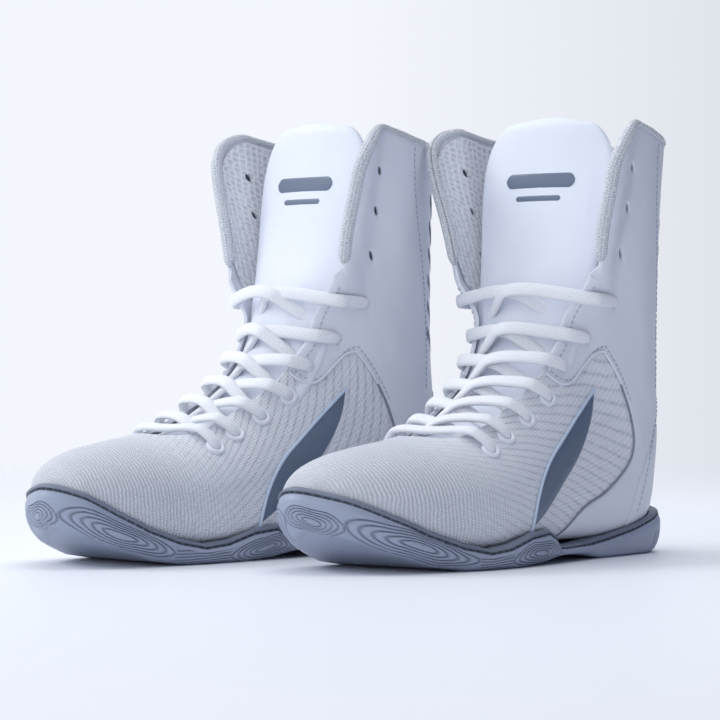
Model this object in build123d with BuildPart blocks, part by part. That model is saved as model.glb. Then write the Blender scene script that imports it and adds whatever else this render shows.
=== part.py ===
"""A pair of laced boxing boots, each built as an assembly of separate pieces.

Every piece is drawn once, for the left boot, in the boot's own frame: X runs forward from the
rear of the heel, Y runs out to the lateral side and Z runs up from the floor. The right boot is
its mirror image. Both are then stood side by side with the toes towards -Y.
"""

import os
from math import cos, pi, sin

from build123d import *

# ---- the pair on the floor (mm, degrees) ----
LEFT_PLACE = (65.7, 34.0)
RIGHT_PLACE = (-65.7, -26.0)
TOE_OUT = 4.6
BOOT_MIDDLE = 140.0

# ---- upper ----
UPPER_SKIN = 2.4
LINING = 1.4
STIFFENER = 1.2
FIT_GAP = 0.3
HALF_POINTS = 9
SHAFT_START = 12
THINNEST = 3.0

# ---- collar and flaps ----
FOLD_GAP = 4.6
BACKSTAY_HALF = 11.0

# ---- tongue ----
TONGUE_HALF_THICK = 4.0
TONGUE_HALF = 35.0
TONGUE_DEPTH = 9.5
TONGUE_HINGE = (106.0, 153.0)
TONGUE_GAP = 2.6
PATCH_THICK = 1.0
PATCH_HALF = 24.0

# ---- laces and eyelets ----
LACE_DIAMETER = 4.6
LACE_UNDER = 6.0
LACE_OVER = 3.0
LACE_REACH = 8.0
LACE_BEND = 2.6
LACE_LOW_CROSSING = -4.4
LACE_HIGH_CROSSING = 1.2
EYELET_OUTER = 5.6
EYELET_HOLE = 2.7
EYELET_HEIGHT = 1.2
EYELET_DEPTH = 3.6
PUNCHED_HOLE = 2.7
AGLET_RADIUS = 2.5
AGLET_LENGTH = 22.0

# ---- sole ----
SOLE_FLOOR = 4.6
CUP_WALL = 4.0
MIDSOLE_DROP = 3.0
STITCH_DROP = (4.4, 3.2)
STITCH_PROUD = 0.5
TRIM_THICK = 0.9
TRIM_GAP = 0.05

# One row per cross section of the upper, from the toe to the collar. Each section stands on a
# line from the sole or heel (foot) to the instep or shin (crown), both as (forward, up).
# centre and half are the sideways middle and half width; the rest are roundnesses.
STATIONS = [
    # foot, crown, centre, half, foot_round, crown_round, side_round, lean
    ((282, 28), (284, 46), -12.0, 11.0, 0.8, 1.0, 1.0, 0.0),
    ((275, 21), (277, 55), -10.0, 24.0, 0.7, 1.1, 1.0, 0.0),
    ((260, 15), (262, 61), -7.0, 35.0, 0.6, 1.2, 1.0, 0.0),
    ((238, 11), (241, 65), -4.0, 42.5, 0.55, 1.3, 1.0, 0.0),
    ((214, 9), (220, 68), -1.0, 46.0, 0.5, 1.3, 1.0, 0.0),
    ((189, 9), (200, 72), 0.0, 46.5, 0.5, 1.3, 1.0, 0.0),
    ((160, 10), (181, 79), 1.0, 44.0, 0.5, 1.2, 1.0, 0.0),
    ((130, 11), (163, 90), 1.0, 41.0, 0.55, 1.1, 0.95, 0.0),
    ((100, 11), (145, 104), 1.0, 39.0, 0.6, 1.0, 0.9, 0.02),
    ((70, 10), (133, 121), 0.5, 38.5, 0.65, 0.95, 0.9, 0.04),
    ((40, 10), (127, 140), 0.0, 38.5, 0.7, 0.9, 0.88, 0.06),
    ((19, 16), (125, 158), 0.0, 40.5, 0.8, 0.85, 0.87, 0.09),
    ((8, 38), (126, 174), 0.0, 42.5, 0.9, 0.8, 0.86, 0.12),
    ((7, 70), (128, 190), 0.0, 45.5, 1.0, 0.8, 0.9, 0.14),
    ((10, 105), (130, 204), 0.0, 49.0, 1.0, 0.8, 0.95, 0.16),
    ((12, 150), (133, 220), 0.0, 53.5, 1.0, 0.8, 0.95, 0.18),
    ((12, 195), (135, 236), 0.0, 57.5, 1.0, 0.8, 0.95, 0.2),
    ((9, 245), (136, 256), 0.0, 61.0, 1.0, 0.8, 0.95, 0.2),
]

# Plan outline of the outsole: (forward, sideways), from the heel round the lateral side.
SOLE_PLAN = [
    (0, 0), (6, 19), (24, 31), (55, 35), (88, 37), (120, 42), (152, 48), (182, 50.5), (208, 49.5),
    (234, 43), (257, 31), (274, 14), (284, -4), (287, -16), (283, -28), (272, -39), (252, -46.5),
    (228, -49.5), (203, -49), (176, -46.5), (150, -43), (120, -36), (86, -34), (52, -33),
    (23, -29), (6, -18),
]
# Wavy top edge of the outsole's cup and the tread line beneath it: (forward, up).
CUP_EDGE = [
    (-6, 28), (20, 24), (50, 17.5), (80, 14.5), (110, 14.5), (132, 17.5), (150, 19.5), (168, 18),
    (188, 13), (205, 11.5), (224, 15), (244, 22), (262, 31), (277, 40), (294, 48),
]
HEEL_TREAD = (18.0, 82.0)
BALL_TREAD = (172.0, 216.0)
HEEL_LIFT = [(-6, 12), (6, 4)]
ARCH_LIFT = [(102, 3.0), (126, 4.2), (150, 3.0)]
TOE_LIFT = [(236, 2.8), (256, 9.5), (274, 19.0), (294, 32.0)]

# Side view lines of the upper: (forward, up).
BOARD_EDGE = [(-10, 24), (20, 20), (60, 16), (110, 16), (160, 15), (210, 14.5), (240, 18),
              (262, 25), (280, 34), (300, 44)]
MESH_EDGE = [(137, 6), (112, 27), (86, 37), (65, 50), (60, 63), (66, 80), (78, 99), (91, 114)]
HEEL_EDGE = [(-10, 80), (22, 76), (42, 58), (54, 34), (60, 0)]
BACK_EDGE = 31.0
SOCK_TOP = [(-10, 21), (20, 19.5), (60, 17), (110, 17.5), (160, 16.5), (210, 15.5), (240, 18),
            (262, 23), (280, 32), (300, 42)]
COLLAR_LINE = [(-10, 229), (30, 229), (60, 232), (84, 237), (97, 235.5), (105, 227), (109.5, 213)]
FRONT_CUT = [(109.5, 300), (109.5, 213), (109, 158), (114, 138), (122, 120), (160, 120), (160, 300)]
PIPING_BACK = [(100.5, 166), (100.5, 202), (97, 219), (90, 227), (80, 229.5), (78, 245)]
FOLD_FRONT = (116.0, 158.0)
FOLD_TOP = (38.0, 247.0)
BINDING_LOW = 224.5

# Opening over the instep, seen square from the front and above: (sideways, along).
THROAT_EYE = (150.0, 60.0)
THROAT_START = -5.0
THROAT = [(0, -37), (11, -34.5), (19, -27), (22, -14), (24, 11), (26, 32), (27, 54), (29.5, 77),
          (34, 98), (34, 120)]

# Eyelet rows on the lateral side: (forward, sideways, up); the medial rows mirror them.
ROWS = [
    (187, 30, 62), (171, 32.5, 69), (152, 33.5, 78), (133, 34, 89), (118, 35.5, 105),
    (102, 38, 121), (88, 42.5, 141), (88, 49, 167), (89, 55, 192), (90, 59, 214),
]
RINGED_ROWS = 4
LACED_ROWS = 7

# Side view of the middle of the tongue: (forward, up).
TONGUE_LINE = [(222, 62), (206, 62), (188, 64), (168, 72), (149, 84), (132, 99), (118, 120),
               (108, 146), (99, 170), (92, 200), (84, 244)]
TONGUE_ROOT = 201.0
PATCH_LINE = [(93.1, 195), (88.4, 220)]

# Where the laces pass over the middle of the foot: the bar, then the crossings: (forward, up).
CROSSINGS = [(196, 73), (184, 78), (168, 87), (153, 98), (141, 111), (132, 128), (126, 150)]

# Slanted tapering side inlay and the vent slashes beside the back seam: (forward, up).
INLAY = [(172, 19), (158, 34), (136, 52), (112, 72), (97, 93), (101, 70), (116, 50), (140, 30)]
VENT_COUNT = 7
VENT_FIRST = 112.0
VENT_STEP = 15.0
VENT_FORWARD = (17.0, 33.0)
VENT_SLANT = 11.0
VENT_HEIGHT = 5.0

# Free lace end inside the boot, on the lateral side: (forward, sideways, up).
TAIL_ROUTE = [(87.4, 40, 142), (85, 30.5, 138.5), (83.5, 25, 128.5), (83.5, 23.5, 112),
              (85, 24, 90), (90, 24.5, 67), (100, 24, 46), (117, 22, 30), (138, 19, 22.5),
              (162, 15, 20.5), (184, 10, 20.5)]


def outline_point(station, grow, angle):
    """Sideways and upward place on a section; the angle is 0 at the foot and pi at the crown."""
    foot, crown, centre, half, foot_round, crown_round, side_round, lean = station
    length = Vector(*crown).sub(Vector(*foot)).length
    swing = cos(angle)
    roundness = foot_round if swing > 0 else crown_round
    rise = 0.5 - 0.5 * (abs(swing) ** roundness) * (1 if swing > 0 else -1)
    turn = sin(angle)
    width = (abs(turn) ** side_round) * (1 if turn > 0 else -1) * (1 - lean * swing)
    return centre + (half + grow) * width, rise * (length + 2 * grow) - grow


def section_plane(station):
    """The plane of a section, with its X sideways and its Y from the foot to the crown."""
    foot, crown = station[0], station[1]
    run = crown[0] - foot[0]
    climb = crown[1] - foot[1]
    return Plane(origin=(foot[0], 0, foot[1]), x_dir=(0, 1, 0), z_dir=(climb, 0, -run))


def boot_form(grow):
    """The closed form of the whole boot, grown outwards by the given amount."""
    turns = [pi * (step + 0.5) / HALF_POINTS for step in range(2 * HALF_POINTS)]
    with BuildPart() as form:
        for group in (STATIONS[: SHAFT_START + 1], STATIONS[SHAFT_START:]):
            for station in group:
                length = Vector(*station[1]).sub(Vector(*station[0])).length
                if grow + min(station[3], length / 2) < THINNEST:
                    continue
                with BuildSketch(section_plane(station)):
                    with BuildLine():
                        Spline(*[outline_point(station, grow, turn) for turn in turns], periodic=True)
                    make_face()
            loft()
    return form.part


def side_region(points, low=-90.0, high=90.0):
    """A slab whose side view is the closed polygon, from one sideways place to another."""
    with BuildPart() as region:
        with BuildSketch(Plane.XZ.offset(-high)):
            with BuildLine():
                Polyline(*points, close=True)
            make_face()
        extrude(amount=high - low)
    return region.part


def shape_of(base, keep=None, cut=()):
    """The base, limited to what lies inside the kept form and outside every cut form."""
    with BuildPart() as shape:
        add(base)
        if keep is not None:
            add(keep, clean=False, mode=Mode.INTERSECT)
        for tool in cut:
            add(tool, clean=False, mode=Mode.SUBTRACT)
    return shape.part


def widest_solid(part):
    """The largest solid of a part, without the crumbs that a cut leaves beside it."""
    with BuildPart() as widest:
        add(part.solids().sort_by(SortBy.VOLUME)[-1])
    return widest.part


def lower_band(top_line):
    """The side view polygon of everything under a line."""
    return top_line + [(top_line[-1][0], -20), (top_line[0][0], -20)]


def upper_band(bottom_line):
    """The side view polygon of everything over a line."""
    return bottom_line + [(bottom_line[-1][0], 300), (bottom_line[0][0], 300)]


def lowered(line, drop):
    """The line, moved down in the side view."""
    return [(forward, up - drop) for forward, up in line]


def trim_skin(form_inside, region, thickness):
    """A thin layer on the outside of the upper, limited to a side view region."""
    return shape_of(boot_form(thickness), keep=region, cut=[form_inside])


def tread_line(rise):
    """Underside of the outsole in the side view, from heel to toe, raised by the given amount."""
    line = list(HEEL_LIFT)
    line += [(HEEL_TREAD[0], 0), (HEEL_TREAD[1], 0)] + ARCH_LIFT
    line += [(BALL_TREAD[0], 0), (BALL_TREAD[1], 0)] + TOE_LIFT
    return [(forward, up + rise) for forward, up in line]


def plan_outline(inset):
    """The points of the sole's plan outline, each moved inwards by the inset."""
    points = []
    for index, (forward, across) in enumerate(SOLE_PLAN):
        before = Vector(*SOLE_PLAN[index - 1])
        after = Vector(*SOLE_PLAN[(index + 1) % len(SOLE_PLAN)])
        run = after.sub(before).normalized()
        points.append((forward + run.Y * inset, across - run.X * inset))
    return points


def sole_slab(inset, bottom_line, top_line):
    """The plan outline, moved inwards by an inset, between two side view lines."""
    with BuildPart() as slab:
        with BuildSketch():
            with BuildLine():
                Spline(*plan_outline(inset), periodic=True)
            make_face()
        extrude(amount=70)
        add(side_region(bottom_line + top_line[::-1]), mode=Mode.INTERSECT)
    return slab.part


def make_sole(upper_room):
    """Outsole cup, midsole and the stitching thread round the cup."""
    floor = tread_line(SOLE_FLOOR)
    foam_room = sole_slab(CUP_WALL, floor, lowered(CUP_EDGE, MIDSOLE_DROP))
    cup = sole_slab(0, tread_line(0), CUP_EDGE)
    outsole = widest_solid(shape_of(cup, cut=[upper_room, foam_room]))
    midsole = widest_solid(shape_of(foam_room, cut=[upper_room]))
    low = lowered(CUP_EDGE, STITCH_DROP[0])
    high = lowered(CUP_EDGE, STITCH_DROP[1])
    thread_room = sole_slab(-STITCH_PROUD, low, high)
    thread = shape_of(thread_room, cut=[sole_slab(0, low, high)])
    return {"outsole": outsole, "midsole": midsole, "sole_stitching": thread}


def throat_prism():
    """The space over the instep that the two facings leave open."""
    slope = 0.5 ** 0.5
    view = Plane(
        origin=(THROAT_EYE[0], 0, THROAT_EYE[1]), x_dir=(0, 1, 0), z_dir=(slope, 0, slope)
    )
    left_edge = [(-across, along) for across, along in THROAT[:0:-1]]
    with BuildPart() as prism:
        with BuildSketch(view.offset(THROAT_START)):
            with BuildLine():
                Polyline(*(left_edge + THROAT), close=True)
            make_face()
        extrude(amount=140)
    return prism.part


def fold_side(gap):
    """Side view polygon of everything in front of and above the fold of the flaps."""
    run = Vector(*FOLD_TOP).sub(Vector(*FOLD_FRONT)).normalized()
    push = Vector(-run.Y, run.X).multiply(-gap)
    low = (FOLD_FRONT[0] + push.X - 30 * run.X, FOLD_FRONT[1] + push.Y - 30 * run.Y)
    high = (FOLD_TOP[0] + push.X + 20 * run.X, FOLD_TOP[1] + push.Y + 20 * run.Y)
    return [low, high, (220, 300), (220, low[1])]


def surface_at(outer, row, side):
    """The point of the upper's outside at an eyelet row, and the outward normal there."""
    forward, sideways, up = row
    core = Vector(forward - 14, 0, up - 22)
    aim = Vector(forward, side * sideways, up).sub(core).normalized()
    hits = outer.faces()[0].find_intersection_points(Axis(core, aim))
    for face in outer.faces()[1:]:
        hits += face.find_intersection_points(Axis(core, aim))
    ahead = [hit for hit in hits if hit[0].sub(core).dot(aim) > 0]
    place, normal = min(ahead, key=lambda hit: hit[0].sub(core).length)
    if normal.dot(aim) < 0:
        normal = normal.multiply(-1)
    return place, normal.normalized()


def drill_set(spots, radius, height, depth):
    """Short cylinders standing on the surface, one at each spot."""
    with BuildPart() as drills:
        for place, normal in spots:
            with Locations(Plane(origin=place.sub(normal.multiply(depth)), z_dir=normal)):
                Cylinder(radius, height + depth, align=(Align.CENTER, Align.CENTER, Align.MIN))
    return drills.part


def make_upper(outer, shell, spots):
    """Every panel of the upper, the parts inside it and the trim on it."""
    ringed = [spots[row, side] for row in range(RINGED_ROWS) for side in (1, -1)]
    punched = [spots[row, side] for row in range(RINGED_ROWS, len(ROWS)) for side in (1, -1)]
    ring_room = drill_set(ringed, EYELET_OUTER, EYELET_HEIGHT, EYELET_DEPTH)
    eyelets = shape_of(ring_room, cut=[drill_set(ringed, EYELET_HOLE, 6, 6)])
    holes = drill_set(punched, PUNCHED_HOLE, 8, 8)

    board_band = side_region(lower_band(BOARD_EDGE))
    insole_board = shape_of(shell, keep=board_band)
    front_cut = side_region(FRONT_CUT)
    over_collar = side_region(upper_band(COLLAR_LINE))
    panels = shape_of(
        shell, cut=[board_band, throat_prism(), front_cut, over_collar, ring_room, holes]
    )

    vamp_room = side_region(MESH_EDGE + [(140, 112), (200, 130), (300, 130), (300, 6)])
    heel_room = side_region(HEEL_EDGE + [(-10, 0)])
    back_room = side_region(
        [(-10, 60), (BACK_EDGE, 60), (BACK_EDGE, 260), (-10, 260)], -BACKSTAY_HALF, BACKSTAY_HALF
    )
    flap_room = side_region(fold_side(FOLD_GAP / 2))
    fold_room = side_region(fold_side(-FOLD_GAP / 2))
    piping_room = side_region(
        [(100.5, 166), (130, 166), (130, 250), (78, 250)] + PIPING_BACK[:0:-1]
    )
    binding_room = side_region([(-10, BINDING_LOW), (42, BINDING_LOW), (42, 260), (-10, 260)])

    rear = shape_of(panels, cut=[vamp_room, fold_room])
    quarters = shape_of(rear, cut=[heel_room, back_room, binding_room])
    pieces = {
        "insole_board": insole_board,
        "vamp": shape_of(panels, keep=vamp_room),
        "heel_cover": shape_of(rear, keep=heel_room),
        "backstay": shape_of(rear, keep=back_room, cut=[heel_room, binding_room]),
        "collar_binding": shape_of(rear, keep=binding_room),
        "eyelets": eyelets,
    }

    skin_inside = boot_form(-UPPER_SKIN - FIT_GAP)
    lining = shape_of(skin_inside, cut=[boot_form(-UPPER_SKIN - FIT_GAP - LINING)])
    flap_lining = shape_of(
        lining, keep=flap_room, cut=[front_cut, over_collar, piping_room, holes]
    )
    stiffener = shape_of(skin_inside, cut=[boot_form(-UPPER_SKIN - FIT_GAP - STIFFENER)])
    over_sock = side_region(upper_band(SOCK_TOP))
    sock_room = side_region(lower_band(SOCK_TOP))
    pieces["sock_liner"] = shape_of(skin_inside, keep=sock_room)
    above_sock = shape_of(stiffener, keep=over_sock)
    pieces["toe_puff"] = shape_of(above_sock, keep=side_region([(254, 0), (300, 0), (300, 90), (254, 90)]))
    pieces["heel_counter"] = shape_of(above_sock, keep=side_region(HEEL_EDGE + [(-10, 0)]))

    flaps = shape_of(panels, keep=flap_room, cut=[piping_room])
    thick_edge = shape_of(boot_form(1.6), cut=[boot_form(-5.6)])
    rolled = shape_of(thick_edge, keep=piping_room, cut=[front_cut, over_collar])
    piping = shape_of(rolled, keep=flap_room)
    on_skin = boot_form(TRIM_GAP)
    inlays = trim_skin(on_skin, side_region(INLAY), TRIM_THICK)
    for name, low, high in (("lateral", 0, 90), ("medial", -90, 0)):
        half = side_region([(-20, -20), (310, -20), (310, 300), (-20, 300)], low, high)
        pieces[name + "_quarter"] = widest_solid(shape_of(quarters, keep=half))
        pieces[name + "_flap"] = widest_solid(shape_of(flaps, keep=half))
        pieces[name + "_flap_lining"] = widest_solid(shape_of(flap_lining, keep=half))
        pieces[name + "_piping"] = widest_solid(shape_of(piping, keep=half))
        pieces[name + "_inlay"] = shape_of(inlays, keep=half)

    vent_layer = boot_form(TRIM_THICK)
    with BuildPart() as vents:
        for step in range(VENT_COUNT):
            base = VENT_FIRST + step * VENT_STEP
            back, front = VENT_FORWARD
            add(side_region([
                (back, base), (front, base + VENT_SLANT), (front, base + VENT_SLANT + VENT_HEIGHT),
                (back, base + VENT_HEIGHT),
            ]))
        add(vent_layer, mode=Mode.INTERSECT)
        add(on_skin, mode=Mode.SUBTRACT)
    pieces["back_vents"] = vents.part
    return pieces


def thick_line(line, back, front):
    """The side view polygon of a band along a line, from its back face to its front face."""
    faces = ([], [])
    for index, point in enumerate(line):
        before = Vector(*line[max(index - 1, 0)])
        after = Vector(*line[min(index + 1, len(line) - 1)])
        run = after.sub(before).normalized()
        for face, depth in zip(faces, (back, front)):
            face.append((point[0] + run.Y * depth, point[1] - run.X * depth))
    return faces[0] + faces[1][::-1]


def make_tongue(under_vamp):
    """The tongue in two halves that meet at its bending line, and the plain patch on it."""
    band = side_region(
        thick_line(TONGUE_LINE, -TONGUE_HALF_THICK, TONGUE_HALF_THICK), -TONGUE_HALF, TONGUE_HALF
    )
    root = side_region([(TONGUE_ROOT, 0), (260, 0), (260, 100), (TONGUE_ROOT, 100)])
    with BuildPart() as room:
        add(boot_form(-TONGUE_DEPTH))
        add(shape_of(under_vamp, keep=root))
    whole = shape_of(band, keep=room.part)
    hinge = TONGUE_HINGE
    gap = TONGUE_GAP / 2
    above = side_region([(-40, hinge[1] - 54 + gap), (260, hinge[1] + 54 + gap), (260, 320), (-40, 320)])
    below = side_region([(-40, hinge[1] - 54 - gap), (260, hinge[1] + 54 - gap), (260, -20), (-40, -20)])
    front = TONGUE_HALF_THICK + TRIM_GAP
    patch = side_region(thick_line(PATCH_LINE, front, front + PATCH_THICK), -PATCH_HALF, PATCH_HALF)
    return {
        "tongue_lower": widest_solid(shape_of(whole, keep=below)),
        "tongue_upper": widest_solid(shape_of(whole, keep=above)),
        "tongue_patch": patch,
    }


def tube(points, radii, diameter):
    """A round tube along straight runs joined by arcs."""
    with BuildPart() as cord:
        with BuildLine() as path:
            FilletPolyline(*points, radius=radii)
        with BuildSketch(Plane(origin=path.line @ 0, z_dir=path.line % 0)):
            Circle(diameter / 2)
        sweep(path=path.line)
    return cord.part


def inward(place, normal, middle):
    """The direction along the surface from an eyelet towards the middle of the foot."""
    reach = middle.sub(place)
    return reach.sub(normal.multiply(reach.dot(normal))).normalized()


def crossing(index, lift):
    """A point over the middle of the foot, lifted square to the line of the crossings."""
    here = CROSSINGS[index]
    before = Vector(*CROSSINGS[max(index - 1, 0)])
    after = Vector(*CROSSINGS[min(index + 1, len(CROSSINGS) - 1)])
    run = after.sub(before).normalized()
    return Vector(here[0] + lift * run.Y, 0, here[1] - lift * run.X)


def landing(spot, middle):
    """The last points of a strand that lies over the facing and dives into its eyelet."""
    place, normal = spot
    top = place.add(normal.multiply(LACE_OVER))
    land = top.add(inward(place, normal, middle).multiply(LACE_REACH))
    return [land, top, place.sub(normal.multiply(LACE_OVER + 0.4))]


def make_laces(spots):
    """The laced part of the lace, one solid for each strand between two eyelets."""
    with BuildPart() as laces:
        middle = crossing(0, LACE_LOW_CROSSING)
        bar = landing(spots[0, 1], middle)[::-1] + [middle] + landing(spots[0, -1], middle)
        add(tube(bar, LACE_BEND, LACE_DIAMETER))
        for row in range(LACED_ROWS - 1):
            for side, lift in ((1, LACE_LOW_CROSSING), (-1, LACE_HIGH_CROSSING)):
                middle = crossing(row + 1, lift)
                place, normal = spots[row, side]
                start = place.sub(normal.multiply(LACE_UNDER))
                leave = start.add(inward(place, normal, middle).multiply(LACE_REACH))
                points = [start, leave, middle] + landing(spots[row + 1, -side], middle)
                add(tube(points, LACE_BEND, LACE_DIAMETER))
    return laces.part


def bend_radii(route):
    """The radius of the arc at each corner of a free cord's route."""
    radii = []
    for before, here, after in zip(route, route[1:], route[2:]):
        arrive = Vector(*here).sub(Vector(*before))
        leave = Vector(*after).sub(Vector(*here))
        half_turn = arrive.get_angle(leave) / 2 * pi / 180
        radii.append(0.45 * min(arrive.length, leave.length) * cos(half_turn) / sin(half_turn))
    return radii


def make_tails():
    """The two free lace ends inside the boot and the aglets on them."""
    pieces = {}
    with BuildPart() as aglets:
        for name, side in (("lateral", 1), ("medial", -1)):
            route = [(forward, side * across, up) for forward, across, up in TAIL_ROUTE]
            radii = bend_radii(route)
            tail = tube(route, radii, LACE_DIAMETER)
            print(name, "tail radii", [round(radius, 1) for radius in radii])
            print(name, "tail length", round(tail.volume / (pi * LACE_DIAMETER**2 / 4), 1))
            pieces["lace_tail_" + name] = tail
            end = Vector(*route[-1])
            heading = end.sub(Vector(*route[-2])).normalized()
            with Locations(Plane(origin=end, z_dir=heading)):
                Cylinder(AGLET_RADIUS, AGLET_LENGTH, align=(Align.CENTER, Align.CENTER, Align.MIN))
    pieces["aglets"] = aglets.part
    return pieces


def make_boot():
    """Every piece of the left boot, in the boot's own frame."""
    outer = boot_form(0)
    shell = shape_of(outer, cut=[boot_form(-UPPER_SKIN)])
    spots = {
        (row, side): surface_at(outer, place, side)
        for row, place in enumerate(ROWS)
        for side in (1, -1)
    }
    pieces = make_sole(boot_form(FIT_GAP))
    pieces.update(make_upper(outer, shell, spots))
    pieces.update(make_tongue(boot_form(-UPPER_SKIN - FIT_GAP)))
    pieces["laces"] = make_laces(spots)
    pieces.update(make_tails())
    return pieces


def stand(piece, side, place):
    """A piece of the left boot, moved to its place in the pair; side -1 makes it a right one."""
    shape = piece if side > 0 else mirror(piece, about=Plane.XZ)
    turned = Rot(0, 0, -90 + side * TOE_OUT) * (Pos(-BOOT_MIDDLE, 0, 0) * shape)
    return Pos(place[0], place[1], 0) * turned


os.makedirs("parts", exist_ok=True)
BOOT = make_boot()
PAIR = []
for boot_name, boot_side, boot_place in (("left", 1, LEFT_PLACE), ("right", -1, RIGHT_PLACE)):
    for piece_name, boot_piece in BOOT.items():
        finished = stand(boot_piece, boot_side, boot_place)
        finished.label = boot_name + "_" + piece_name
        export_step(finished, "parts/" + finished.label + ".step")
        PAIR.append(finished)
box = Compound(PAIR).bounding_box()
print("pair", box.min, box.max, "middle", box.center())
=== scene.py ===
"""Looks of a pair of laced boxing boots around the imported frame.

Each piece is shaped in the boot's own frame, in millimetres: forward from the rear of the heel,
out to the lateral side and up from the floor. world() then puts it where the frame has it.
"""
from math import cos, pi, radians, sin

import bpy
import numpy as np
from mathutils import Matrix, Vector
from mathutils.geometry import delaunay_2d_cdt

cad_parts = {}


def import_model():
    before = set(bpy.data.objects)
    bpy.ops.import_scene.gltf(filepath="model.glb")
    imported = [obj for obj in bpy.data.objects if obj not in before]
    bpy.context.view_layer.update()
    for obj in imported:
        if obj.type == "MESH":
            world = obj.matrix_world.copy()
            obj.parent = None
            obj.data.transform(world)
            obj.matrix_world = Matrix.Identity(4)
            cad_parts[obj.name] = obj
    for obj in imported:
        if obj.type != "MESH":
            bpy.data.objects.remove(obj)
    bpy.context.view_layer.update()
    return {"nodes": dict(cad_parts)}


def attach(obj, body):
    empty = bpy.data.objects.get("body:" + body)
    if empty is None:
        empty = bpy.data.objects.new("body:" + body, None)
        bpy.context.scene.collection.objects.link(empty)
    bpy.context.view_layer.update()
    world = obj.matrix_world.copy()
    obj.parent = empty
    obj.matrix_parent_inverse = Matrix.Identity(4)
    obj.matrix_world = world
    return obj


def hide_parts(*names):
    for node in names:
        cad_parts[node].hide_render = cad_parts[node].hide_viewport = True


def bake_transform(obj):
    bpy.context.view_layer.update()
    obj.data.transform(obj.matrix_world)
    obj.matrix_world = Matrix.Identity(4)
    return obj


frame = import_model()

MM = 0.001
SHARP_ANGLE = 48.0

# ---- the pair on the floor, as in the frame (mm, degrees) ----
TOE_OUT = 4.6
BOOT_MIDDLE = 140.0
PLACES = {"left": (65.7, 34.0), "right": (-65.7, -26.0)}
SIDES = {"left": 1, "right": -1}

# ---- the upper's cross sections, as in the frame ----
SECTIONS = [
    # foot, crown, centre, half, foot_round, crown_round, side_round, lean
    ((286, 34), (287, 42), -13.0, 3.0, 0.9, 1.0, 1.0, 0.0),
    ((282, 28), (284, 46), -12.0, 11.0, 0.8, 1.0, 1.0, 0.0),
    ((275, 21), (277, 55), -10.0, 24.0, 0.7, 1.1, 1.0, 0.0),
    ((260, 15), (262, 61), -7.0, 35.0, 0.6, 1.2, 1.0, 0.0),
    ((238, 11), (241, 65), -4.0, 42.5, 0.55, 1.3, 1.0, 0.0),
    ((214, 9), (220, 68), -1.0, 46.0, 0.5, 1.3, 1.0, 0.0),
    ((189, 9), (200, 72), 0.0, 46.5, 0.5, 1.3, 1.0, 0.0),
    ((160, 10), (181, 79), 1.0, 44.0, 0.5, 1.2, 1.0, 0.0),
    ((130, 11), (163, 90), 1.0, 41.0, 0.55, 1.1, 0.95, 0.0),
    ((100, 11), (145, 104), 1.0, 39.0, 0.6, 1.0, 0.9, 0.02),
    ((70, 10), (133, 121), 0.5, 38.5, 0.65, 0.95, 0.9, 0.04),
    ((40, 10), (127, 140), 0.0, 38.5, 0.7, 0.9, 0.88, 0.06),
    ((19, 16), (125, 158), 0.0, 40.5, 0.8, 0.85, 0.87, 0.09),
    ((8, 38), (126, 174), 0.0, 42.5, 0.9, 0.8, 0.86, 0.12),
    ((7, 70), (128, 190), 0.0, 45.5, 1.0, 0.8, 0.9, 0.14),
    ((10, 105), (130, 204), 0.0, 49.0, 1.0, 0.8, 0.95, 0.16),
    ((12, 150), (133, 220), 0.0, 53.5, 1.0, 0.8, 0.95, 0.18),
    ((12, 195), (135, 236), 0.0, 57.5, 1.0, 0.8, 0.95, 0.2),
    ((9, 245), (136, 256), 0.0, 61.0, 1.0, 0.8, 0.95, 0.2),
]
TABLE = np.array([[*row[0], *row[1], *row[2:]] for row in SECTIONS], float)
LAST = len(SECTIONS) - 1.0
SQUARE_FOOT = (5.0, 6.0)
SQUARE_UNTIL = (9.0, 13.0)
AROUND = 48.0
# lengths along the sheet are measured at this angle of the sections
MEASURED_ANGLE = 0.62 * pi

# ---- lines of the upper in the side view: (forward, up) ----
CUP_EDGE = [(-6, 28), (20, 24), (50, 17.5), (80, 13), (105, 10.5), (128, 9.5), (136, 10.5),
            (141, 16), (150, 19.5), (168, 18), (188, 13), (205, 11.5), (224, 15), (244, 22),
            (262, 31), (277, 40), (294, 48)]
MESH_EDGE = [(139, 6), (112, 27), (86, 37), (65, 50), (60, 63), (66, 80), (78, 99), (91, 114)]
LOBE = [(97, 112.5), (104, 106), (111, 99.5), (118, 96), (125, 97.5), (129, 102)]
HEEL_EDGE = [(6, 78), (22, 75), (42, 58), (53, 36), (58, 14)]
COLLAR = [(109.5, 213), (107, 224), (100, 233.5), (91, 237.5), (82, 236), (62, 232), (30, 229), (6, 229)]
FRONT_EDGE = [(109, 160), (109.5, 175), (109.5, 195), (109.5, 213)]
INLAY_FRONT = [(163, 20), (158, 36), (146, 53), (126, 69), (97, 93)]
INLAY_REAR = [(101, 77), (113, 58), (130, 43), (148, 29)]
BACK_SEAM = [(62, 230), (59, 208), (52, 184), (42, 156), (35, 124), (34, 90)]
COUNTER_SEAM = [(12, 92), (24, 86), (36, 68), (44, 46), (49, 22)]
LOW_EDGE_DROP = 4.0
THROAT = [(0, -37), (11, -34.5), (19, -27), (22, -14), (24, 11), (26, 32), (27, 50)]
FACING = [(27, 54), (28.5, 66), (29.5, 77), (31.5, 88), (33, 94)]
THROAT_EYE = (150.0, 60.0)
# how far the flaps open at their foot and what they gain to the top, then where that happens:
# from a height up, towards the front, and over the height of the flap (start, distance)
SPLAY_LATERAL = (13, -4)
SPLAY_MEDIAL = (12, 0.3)
SPLAY_START = (130, 26)
SPLAY_FRONT = (86, 24)
SPLAY_HEIGHTS = (158, 55)

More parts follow.
